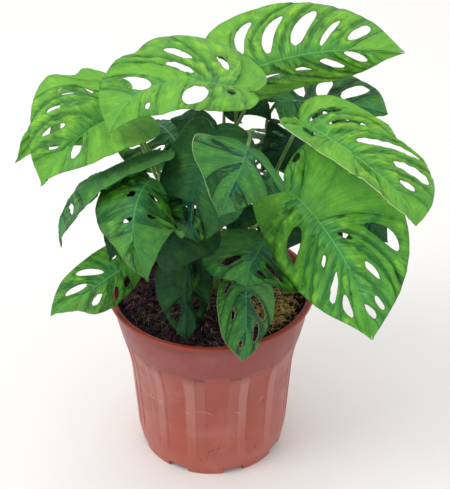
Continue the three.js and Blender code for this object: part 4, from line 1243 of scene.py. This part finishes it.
# --- the stems
@dataclass
class Stem:
    """A stem that stands in the soil, swollen a little where each petiole leaves it."""

    plan: StemPlan
    depth: float = 38.0
    slimmer: float = 0.15
    taper: float = 0.22
    round_end: float = 2.2
    swelling: float = 0.55
    swelling_reach: float = 2.6
    bare_knots: Pair = (0.12, 0.24)
    steps: int = 120
    buried_steps: int = 20
    sides: int = 20

    def __post_init__(self) -> None:
        """Works out the control points of the free part."""
        (x, y), top = self.plan.foot, self.plan.top
        middle = SOIL_TOP + 0.4 * (top[2] - SOIL_TOP)
        self.points = [(x, y, SOIL_TOP + 1), (x, y, middle), self.plan.bend, top]

    def axis(self, t: Array | float) -> Array:
        """The axis: a cubic Bezier from the soil to the top."""
        return bezier(self.points, t)

    def heading(self, t: float) -> Array:
        """The direction of the axis, by a short difference."""
        return unit(self.axis(min(t + 1e-3, 1)) - self.axis(max(t - 1e-3, 0)))

    def build(self, knots: Sequence[float]) -> Piece:
        """The stem as a tube whose radius swells by swelling * exp(-(distance / reach)^2) at each knot.

        Args:
            knots: The places along the axis where petioles leave.

        Returns:
            The piece.
        """
        t = np.linspace(0, 1, self.steps)
        x, y, foot = self.points[0]
        low = foot - np.linspace(self.depth, 0.8, self.buried_steps)
        low = np.stack([np.full_like(low, x), np.full_like(low, y), low], -1)
        path = np.concatenate([low, self.axis(t)])
        radius = np.full(len(path), STEM_RADIUS - self.slimmer)
        for knot in [*knots, *self.bare_knots]:
            apart = np.linalg.norm(path - self.axis(knot), axis=1)
            radius += self.swelling * np.exp(-((apart / self.swelling_reach) ** 2))
        radius *= 1 - self.taper * np.concatenate([np.zeros(len(low)), t**3])
        end = np.linalg.norm(path - path[-1], axis=1)
        radius *= np.sqrt(np.clip(end / self.round_end, 0.02, 1))
        skin = StalkFinish().material(self.plan.name + "_green")
        return make_piece(self.plan.name + "_skin", [tube(path, radius, self.sides)], [skin])


# --- the leaves
# Halves with a rolled pale margin: leaf and side, the share out where it begins, and its strength.
PALE_EDGES = {
    ("leaf_11", 1): (0.95, 1.0), ("leaf_09", 1): (0.95, 0.9), ("leaf_08", 1): (0.95, 0.8),
    ("leaf_22", -1): (-1.0, 0.4), ("leaf_22", 1): (-1.0, 0.4),
}


@dataclass
class Blade:
    """The surface of a leaf blade as a function of side, share of the margin and share out.

    lobe is the share of the margin up to its widest place. The curves are the Bezier points of the
    margin before and after it, in lengths along the midrib and half widths beside it.
    """

    plan: LeafPlan
    lobe: float = 0.4
    lobe_curve: tuple[Pair, ...] = ((0, 0), (-0.15, 0.22), (-0.1, 1), (0.27, 1))
    tip_curve: tuple[Pair, ...] = ((0.27, 1), (0.62, 1), (0.87, 0.2), (1, 0))
    sweep: float = 1.9
    bow: float = 0.08
    wave: float = 1.5
    waves: float = 2.5

    def __post_init__(self) -> None:
        """Works out the midrib and its length."""
        base, crest, tip = (np.array(p, float) for p in (self.plan.base, self.plan.crest, self.plan.tip))
        self.rib = [base, 2 * crest - (base + tip) / 2, tip]
        self.face = unit(np.array(self.plan.face, float))
        fine = bezier(self.rib, np.linspace(0, 1, 400))
        self.length = float(np.linalg.norm(np.diff(fine, axis=0), axis=1).sum())

    def frame(self, t: Array) -> tuple[Array, Array, Array]:
        """The directions along, up and right at shares of the midrib.

        Args:
            t: Shares of the midrib, held to 0..1.

        Returns:
            along = the midrib's tangent, up = the face without its part along, right = along x up,
            with up and right turned by twist * (t - 1/2).
        """
        t = np.clip(t, 0, 1)
        a, b, c = self.rib
        along = unit(2 * (b - a) * (1 - t)[..., None] + 2 * (c - b) * t[..., None])
        up = unit(self.face - (along @ self.face)[..., None] * along)
        right = np.cross(along, up)
        turn = np.radians(self.plan.twist) * (t - 0.5)
        cos, sin = np.cos(turn)[..., None], np.sin(turn)[..., None]
        return along, up * cos + right * sin, right * cos - up * sin

    def flat(self, share: Array, out: Array, width: float) -> tuple[Array, Array]:
        """The place on the flat half: along the vein from the midrib at length * share^1.9 to the margin.

        Args:
            share: Shares of the margin.
            out: Shares out from the midrib.
            width: The half's width.

        Returns:
            How far the place lies along the midrib, and how far beside it.
        """
        size = np.array([self.length, width])
        first = bezier(self.lobe_curve * size, np.clip(share / self.lobe, 0, 1))
        last = bezier(self.tip_curve * size, np.clip((share - self.lobe) / (1 - self.lobe), 0, 1))
        edge = np.where((share < self.lobe)[..., None], first, last)
        root = self.length * share**self.sweep
        bow = self.bow * self.length * np.sin(np.pi * share) * out * (1 - out)
        return root + (edge[..., 0] - root) * out - bow, edge[..., 1] * out

    def surface(self, side: int, share: Array, out: Array) -> Array:
        """The middle surface: the flat half rolled to an arc from the fold to fold + curl.

        Args:
            side: -1 for the left half, 1 for the right half.
            share: Shares of the margin.
            out: Shares out from the midrib.

        Returns:
            Points in millimetres.
        """
        index = int(side > 0)
        width = self.plan.half[index]
        fold, curl = np.radians(self.plan.fold[index]), np.radians(self.plan.curl[index])
        u, v = self.flat(share, out, width)
        for at, depth, stretch in self.plan.dents[index]:
            v = v * (1 - depth * out * np.exp(-(((share - at) / stretch) ** 2)))
        t = u / self.length
        along, up, right = self.frame(t)
        end = fold + curl * v / width
        reach = width / curl * (np.sin(end) - np.sin(fold))
        ends = np.minimum(1, 6 * share) * np.minimum(1, 6 * (1 - share))
        wave = self.wave * np.sin(2 * np.pi * (self.waves * share + 0.1)) * out * out * ends
        lift = width / curl * (np.cos(end) - np.cos(fold)) + wave
        point = bezier(self.rib, np.clip(t, 0, 1)) + along * (np.minimum(t, 0) * self.length)[..., None]
        return point + side * right * reach[..., None] + up * lift[..., None]


@dataclass
class HalfSheet:
    """One half of a blade as a fine mesh: a grid or a ring round the hole for each panel.

    side is -1 for the left half and 1 for the right half. The relief is given for a blade of
    full_length, and is less on a shorter one.
    """

    blade: Blade
    side: int
    seed: int
    out_steps: int = 21
    across_steps: int = 13
    ring_steps: int = 8
    ring_growth: float = 1.3
    squareness: float = 0.86
    hole_wobble: Pair = (0.05, 0.03)
    full_length: float = 105.0
    quilt_height: float = 1.3
    pucker_height: float = 0.35
    pucker_length: float = 7.0
    crease_height: float = 0.5
    creases: float = 27.0
    uneven_height: float = 1.1
    uneven_lengths: Pair = (10.0, 4.6)
    groove_depth: float = 0.5
    groove_width: float = 1.8

    def __post_init__(self) -> None:
        """Lays out the panels and merges them along their veins."""
        plan = self.blade.plan
        self.pale_from, self.pale = PALE_EDGES.get((plan.name, self.side), (2.0, 0.0))
        self.rng = np.random.default_rng(self.seed)
        rows = plan.left if self.side < 0 else plan.right
        between = [((a[0] + b[0]) / 2, (a[1] + b[1]) / 2) for a, b in zip(rows, rows[1:])]
        self.bounds = [(0.0, 0.0), *between, (1.0, 1.0)]
        places, quads, marks, start = [], [], [], 0
        for number, row in enumerate(rows):
            a, o, faces, hole = self.panel(row)
            places.append(self.at(number, a, o))
            quads.append(faces + start)
            marks.append(self.near(number, a, o, places[-1], hole))
            start += len(a)
        joined = self.merged(np.concatenate(places), np.concatenate(quads), marks)
        self.points, self.quads, self.marks = joined

    def spot(self, number: int, a: Array, o: Array) -> Array:
        """The share of the margin at panel coordinates: straight between the panel's two veins."""
        (r0, e0), (r1, e1) = self.bounds[number], self.bounds[number + 1]
        return r0 + (e0 - r0) * o + (r1 + (e1 - r1) * o - r0 - (e0 - r0) * o) * a

    def at(self, number: int, a: Array, o: Array) -> Array:
        """The point of the middle surface at panel coordinates."""
        return self.blade.surface(self.side, self.spot(number, a, o), o)

    def panel(self, row: tuple[float, ...]) -> tuple[Array, Array, Array, Array | None]:
        """The grid of one panel in its own coordinates, 0..1 across and 0..1 out.

        Args:
            row: The panel's row of the plan.

        Returns:
            Across, out, the faces, and the number of each point's neighbour on the hole, if any.
        """
        p, q = self.out_steps, self.across_steps
        steps_o, steps_a = np.linspace(0, 1, p + 1), np.linspace(0, 1, q + 1)
        if len(row) == 2:
            o, a = np.meshgrid(steps_o, steps_a, indexing="ij")
            return a.ravel(), o.ravel(), grid(p + 1, q + 1, False)[:, [0, 3, 2, 1]], None
        ring_a = np.concatenate([np.zeros(p), steps_a[:-1], np.ones(p), steps_a[:0:-1]])
        ring_o = np.concatenate([steps_o[:-1], np.ones(q), steps_o[:0:-1], np.zeros(q)])
        _, _, inner, outer, wide = row
        middle, half, reach = (inner + outer) / 2, (outer - inner) / 2, wide / 2
        turn = np.arctan2((ring_a - 0.5) / reach, (ring_o - middle) / half)
        sin, cos = np.sin(turn), np.cos(turn)
        wobble = 1.0
        for waves, share in zip((2, 3), self.hole_wobble):
            wobble = wobble + share * np.sin(waves * turn + self.rng.uniform(0, 6))
        hole_a = 0.5 + reach * np.sign(sin) * np.abs(sin) ** self.squareness * wobble
        hole_o = middle + half * np.sign(cos) * np.abs(cos) ** self.squareness * wobble
        f = (np.linspace(0, 1, self.ring_steps + 1) ** self.ring_growth)[:, None]
        a, o = hole_a + (ring_a - hole_a) * f, hole_o + (ring_o - hole_o) * f
        count = len(ring_a)
        return a.ravel(), o.ravel(), grid(len(f), count), np.tile(np.arange(count), len(f))

    def near(self, number: int, a: Array, o: Array, point: Array, hole: Array | None) -> dict[str, Array]:
        """The marks of a panel's points.

        Args:
            number: The panel's number.
            a: Shares across the panel.
            o: Shares out.
            point: The points.
            hole: The number of each point's neighbour on the hole, if any.

        Returns:
            near = centimetres to the next vein, the midrib and the open edge; panel = share of the
            margin, share out and the place across, counted in panels.
        """
        ones = np.ones_like(a)
        (r0, e0), (r1, e1) = self.bounds[number], self.bounds[number + 1]
        wide = (r1 - r0 + e1 - e0) / 2
        if hole is None:
            lines = np.linspace(0, 1, max(2, round(wide / 0.11) + 1))
        else:
            lines = (0, 0.16, 0.84, 1) if wide > 0.18 else (0, 1)
        veins = np.min([np.linalg.norm(point - self.at(number, ones * x, o), axis=1) for x in lines], axis=0)
        rib, margin = (np.linalg.norm(point - self.at(number, a, ones * out), axis=1) for out in (0, 1))
        if hole is not None:
            margin = np.minimum(margin, np.linalg.norm(point - point[hole], axis=1))
        return {"near": np.stack([veins, rib, margin], -1) / 10,
                "panel": np.stack([self.spot(number, a, o), o, number + a], -1)}

    def merged(self, points: Array, quads: Array,
               marks: list[dict[str, Array]]) -> tuple[Array, Array, dict[str, Array]]:
        """Joins points that lie within a hundredth of a millimetre.

        Args:
            points: All the panels' points.
            quads: All their faces.
            marks: The marks of each panel.

        Returns:
            The points, the faces and the marks.
        """
        keys = np.round(points * 100).astype(int)
        _, first, inverse = np.unique(keys, axis=0, return_index=True, return_inverse=True)
        joined = {name: np.concatenate([m[name] for m in marks])[first] for name in marks[0]}
        return points[first], inverse.reshape(-1)[quads], joined

    def faces(self) -> tuple[Array, Array]:
        """Faces with two corners that became one are triangles, and faces with fewer left go.

        Returns:
            The quads and the triangles, facing up.
        """
        same = self.quads == np.roll(self.quads, -1, 1)
        triangles = []
        for i in range(4):
            only = same[:, i] & (same.sum(1) == 1)
            triangles.append(self.quads[only][:, [(i + k) % 4 for k in (1, 2, 3)]])
        quads, triangles = self.quads[~same.any(1)], np.concatenate(triangles)
        return (quads[:, ::-1], triangles[:, ::-1]) if self.side > 0 else (quads, triangles)

    def relief(self, seed: int) -> Array:
        """How far the skin stands out: quilted between the veins, puckered across and creased along them.

        Args:
            seed: The seed of the uneven part.

        Returns:
            Millimetres along the normal. Quilting rises smoothly with the distance from the vein; cross
            puckers are |sin| of the way out; creases are a sine of the margin share that fades outwards;
            ripples of two lengths are seeded; the midrib lies in a groove.
        """
        vein, rib, edge = self.marks["near"].T * 10
        share, out, row = self.marks["panel"].T
        size = min(1.0, self.blade.length / self.full_length)
        stray = ripples(self.points, 15, seed + 2)
        quilt = smooth(vein, 0.2, 4.2) * smooth(rib, 0.0, 7.0) * (0.3 + 0.7 * smooth(edge, 0.0, 6.0))
        way = out * self.blade.plan.half[int(self.side > 0)] / self.pucker_length
        way = way + 0.35 * stray + 0.3 * np.floor(row)
        pucker = np.abs(np.sin(np.pi * way)) ** 0.8 * quilt
        crease = np.sin(2 * np.pi * (self.creases * share + 0.35 * stray))
        crease = crease * (1 - out) ** 1.1 * smooth(rib, 0.5, 4.0)
        calm = smooth(rib, 0.0, 4.0) * (0.45 + 0.55 * smooth(edge, 0, 4))
        first, second = self.uneven_lengths
        uneven = 0.6 * ripples(self.points, first, seed) + 0.3 * ripples(self.points, second, seed + 1)
        uneven = uneven * calm
        total = size * (self.quilt_height * quilt + self.pucker_height * pucker + self.crease_height * crease
                        + self.uneven_height * uneven)
        total -= self.groove_depth * np.exp(-((rib / self.groove_width) ** 2))
        pale = self.pale * smooth(out, self.pale_from, self.pale_from + 0.025)
        # The skin mark's first part, the relief's height, places the leaf finish's painted highlight and
        # shade; the second is the pale margin.
        self.marks["skin"] = np.stack([0.2 + 0.3 * total / size, pale, np.zeros_like(out)], -1)
        return total

    def shell(self, thickness: float, seed: int) -> Shell:
        """The half as a closed skin: two copies of the sheet and walls along its open edges.

        Args:
            thickness: The blade's thickness in the middle.
            seed: The seed of its relief.

        Returns:
            The shell, with finish 0 on top, 1 underneath and 0 on the walls.
        """
        quads, triangles = self.faces()
        normal = self.normals(quads, triangles)
        lifted = self.points + normal * self.relief(seed)[:, None]
        half = (thickness / 2 * (0.55 + 0.45 * smooth(self.marks["near"][:, 2] * 10, 0, 2.5)))[:, None]
        n = len(self.points)
        edges = [f[:, [i, (i + 1) % f.shape[1]]] for f in (quads, triangles) for i in range(f.shape[1])]
        pairs = np.concatenate(edges)
        i, j = pairs[~np.isin(pairs @ (n, 1), pairs @ (1, n))].T
        walls = np.stack([j, i, n + i, n + j], -1)
        finish = np.repeat([0, 1, 0], [len(quads), len(quads), len(walls)])
        quads = np.concatenate([quads, (quads + n)[:, ::-1], walls])
        triangles = np.concatenate([triangles, (triangles + n)[:, ::-1]])
        marks = {name: np.concatenate([value, value]) for name, value in self.marks.items()}
        return Shell(np.concatenate([lifted + normal * half, lifted - normal * half]), quads, triangles, 0,
                     marks, finish)

    def normals(self, quads: Array, triangles: Array) -> Array:
        """Each point's normal: the sum of its faces' normals, weighted by their areas.

        Args:
            quads: The faces with four corners.
            triangles: The faces with three.

        Returns:
            One normal for each point.
        """
        total = np.zeros_like(self.points)
        for faces, (a, b), (c, d) in ((quads, (0, 2), (1, 3)), (triangles, (0, 1), (0, 2))):
            p = self.points[faces]
            crossed = np.cross(p[:, b] - p[:, a], p[:, d] - p[:, c])
            for corner in faces.T:
                np.add.at(total, corner, crossed)
        return unit(total)


@dataclass
class Leaf:
    """A blade with its petiole, which runs on under the blade as the midrib."""

    plan: LeafPlan
    stem: Stem
    seed: int
    thickness: float = 0.55
    sink: float = 1.0
    steps: int = 60
    sides: int = 12
    stalk_radius: float = 1.22
    root_swelling: float = 0.9
    blade_swelling: float = 0.18
    thinning: float = 0.1
    fade: float = 15.0
    rib_span: Pair = (0.02, 0.97)
    rib_radius: float = 1.15
    rib_end: float = 0.16
    rib_depth: Pair = (0.45, 0.95)

    def __post_init__(self) -> None:
        """Makes the blade's surface."""
        self.blade = Blade(self.plan)

    def stalk_path(self) -> tuple[Array, Array]:
        """The petiole from beside the stem to the blade, then the midrib to near the tip.

        Returns:
            Points and radii. The petiole is a cubic Bezier that swells by exp(-(fade * share)^2) at both
            ends; the midrib follows the blade's rib at a depth that shrinks with the radius.
        """
        _, place, reach, drop, angle = self.plan.petiole
        root, axis = self.stem.axis(place), self.stem.heading(place)
        base = self.blade.rib[0]
        away = base - root
        away = unit(away - axis * (away @ axis))
        start = root + away * (STEM_RADIUS + PETIOLE_RADIUS - GAP)
        first = start + unit(away + 0.6 * axis) * reach
        along, up, _ = (v[0] for v in self.blade.frame(np.zeros(1)))
        join = base - up * self.sink
        slope = math.radians(angle)
        last = join - (along * math.cos(slope) + up * math.sin(slope)) * drop
        t = np.linspace(0, 1, self.steps)
        s = np.linspace(*self.rib_span, self.steps)
        rib_radius = self.rib_radius * (1 - s) ** 0.8 + self.rib_end
        depth = self.rib_depth[0] + self.rib_depth[1] * rib_radius
        rib = bezier(self.blade.rib, s) - self.blade.frame(s)[1] * depth[:, None]
        low, high = (np.exp(-((way * self.fade) ** 2)) for way in (t, 1 - t))
        free_radius = self.stalk_radius + self.root_swelling * low + self.blade_swelling * high
        free_radius = free_radius - self.thinning * t
        return (np.concatenate([bezier([start, first, last, join], t), rib]),
                np.concatenate([free_radius, rib_radius]))

    def build(self, greens: Callable[[Tone], list[Material]]) -> Piece:
        """The leaf as one piece: two half sheets and the stalk.

        Args:
            greens: Gives the upper, the lower and the stalk's material of a tone.

        Returns:
            The piece.
        """
        sheets = [HalfSheet(self.blade, side, self.seed + side) for side in (-1, 1)]
        halves = [sheet.shell(self.thickness, self.seed) for sheet in sheets]
        stalk = tube(*self.stalk_path(), self.sides, 2)
        return make_piece(self.plan.name + "_fine", [*halves, stalk], greens(self.plan.tone), 50)


@dataclass
class Foliage:
    """All stems and leaves, with one set of materials for each tone."""

    first_seed: int = 100
    seed_step: int = 7
    sets: dict[Tone, list[Material]] = field(default_factory=dict)

    def greens(self, tone: Tone) -> list[Material]:
        """The materials of a tone, made once.

        Args:
            tone: The tone.

        Returns:
            The upper, the lower and the stalk's material.
        """
        if tone not in self.sets:
            green, name = GREENS[tone], "leaf_" + tone.value
            self.sets[tone] = [LeafFinish(green).material(name),
                               LeafFinish(green, True).material(name + "_under"),
                               StalkFinish().material(name + "_stalk")]
        return self.sets[tone]

    def build(self) -> None:
        """Builds and reports each stem and leaf in place of its plain solid."""
        stems = [Stem(plan) for plan in STEMS]
        for number, stem in enumerate(stems, 1):
            knots = [plan.petiole[1] for plan in LEAVES if plan.petiole[0] == number]
            seat(stem.build(knots), stem.plan.name)
        for i, plan in enumerate(LEAVES):
            leaf = Leaf(plan, stems[int(plan.petiole[0]) - 1], self.first_seed + self.seed_step * i)
            seat(leaf.build(self.greens), plan.name)


# --- the studio
@dataclass(frozen=True)
class Lamp:
    """A square soft light: its place, what it looks at, the length of its side and its watts."""

    name: str
    place: Triple
    target: Triple
    size: float
    power: float
    tint: Colour

    def hang(self) -> None:
        """Adds the light to the scene."""
        light = bpy.data.lights.new(self.name, "AREA")
        light.shape = "SQUARE"
        light.size = self.size
        light.energy = self.power
        light.color = self.tint
        lamp = bpy.data.objects.new(self.name, light)
        lamp.location = self.place
        lamp.rotation_euler = (Vector(self.target) - Vector(self.place)).to_track_quat("-Z", "Y").to_euler()
        bpy.context.scene.collection.objects.link(lamp)


@dataclass
class Studio:
    """A pale floor, soft light from the upper left and front, and the camera. Places are in metres."""

    lamps: tuple[Lamp, ...] = (
        Lamp("key", (-0.9, -0.5, 1.5), (0, 0, 0.2), 0.7, 9.5, (1, 0.98, 0.95)),
        Lamp("top", (0.1, 0.7, 1.7), (0, 0, 0.25), 1.0, 3.5, (1, 1, 1)),
    )
    camera_place: Triple = (0.010, -0.8241, 0.7379)
    camera_tilt: float = 55.5
    lens: float = 112.64
    sensor: float = 36.0
    far: float = 50.0
    sky: float = 0.9
    sky_colour: tuple[float, float, float, float] = (1, 0.985, 0.965, 1)
    floor_reach: float = 6000.0

    def floor(self) -> None:
        """A wide floor plane under the pot."""
        corners = np.array([[-1, -1, 0], [1, -1, 0], [1, 1, 0], [-1, 1, 0]]) * self.floor_reach
        corners = corners - [0, 0, 0.05]
        plane = Shell(corners, np.arange(4)[None])
        piece = make_piece("studio_floor", [plane], [FloorFinish().material("floor_paint")])

    def build(self) -> None:
        """Floor, lights, sky and camera."""
        scene = bpy.context.scene
        self.floor()
        for lamp in self.lamps:
            lamp.hang()
        world = bpy.data.worlds.new("studio")
        world.use_nodes = True
        background = world.node_tree.nodes["Background"]
        background.inputs["Color"].default_value = self.sky_colour
        background.inputs["Strength"].default_value = self.sky
        scene.world = world
        data = bpy.data.cameras.new("camera")
        data.lens = self.lens
        data.sensor_width = self.sensor
        data.sensor_fit = "HORIZONTAL"
        data.clip_end = self.far
        camera = bpy.data.objects.new("camera", data)
        camera.location = self.camera_place
        camera.rotation_euler = (math.radians(self.camera_tilt), 0, 0)
        scene.collection.objects.link(camera)
        scene.camera = camera
        scene.view_settings.view_transform = "Standard"
        scene.view_settings.look = "None"


# --- assembly
def seat(piece: Piece, node: str | None) -> None:
    """Fixes a piece to the body, in place of a plain solid where it has one, and reports it.

    Args:
        piece: The piece.
        node: The plain solid's node, or None for a piece that is added.
    """
    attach(piece, BODY)
    if node:
        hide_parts(node)
    log.info("%s: %d faces", piece.name, len(piece.data.polygons))


def main() -> None:
    """Builds the pot, the soil, the plant and the studio."""
    logging.basicConfig(level=logging.INFO, format="%(name)s %(message)s")
    seat(NurseryPot().build(), "pot")
    for i, piece in enumerate(Soil().build()):
        seat(piece, "soil" if i == 0 else None)
    Foliage().build()
    Studio().build()


if __name__ == "__main__":
    main()
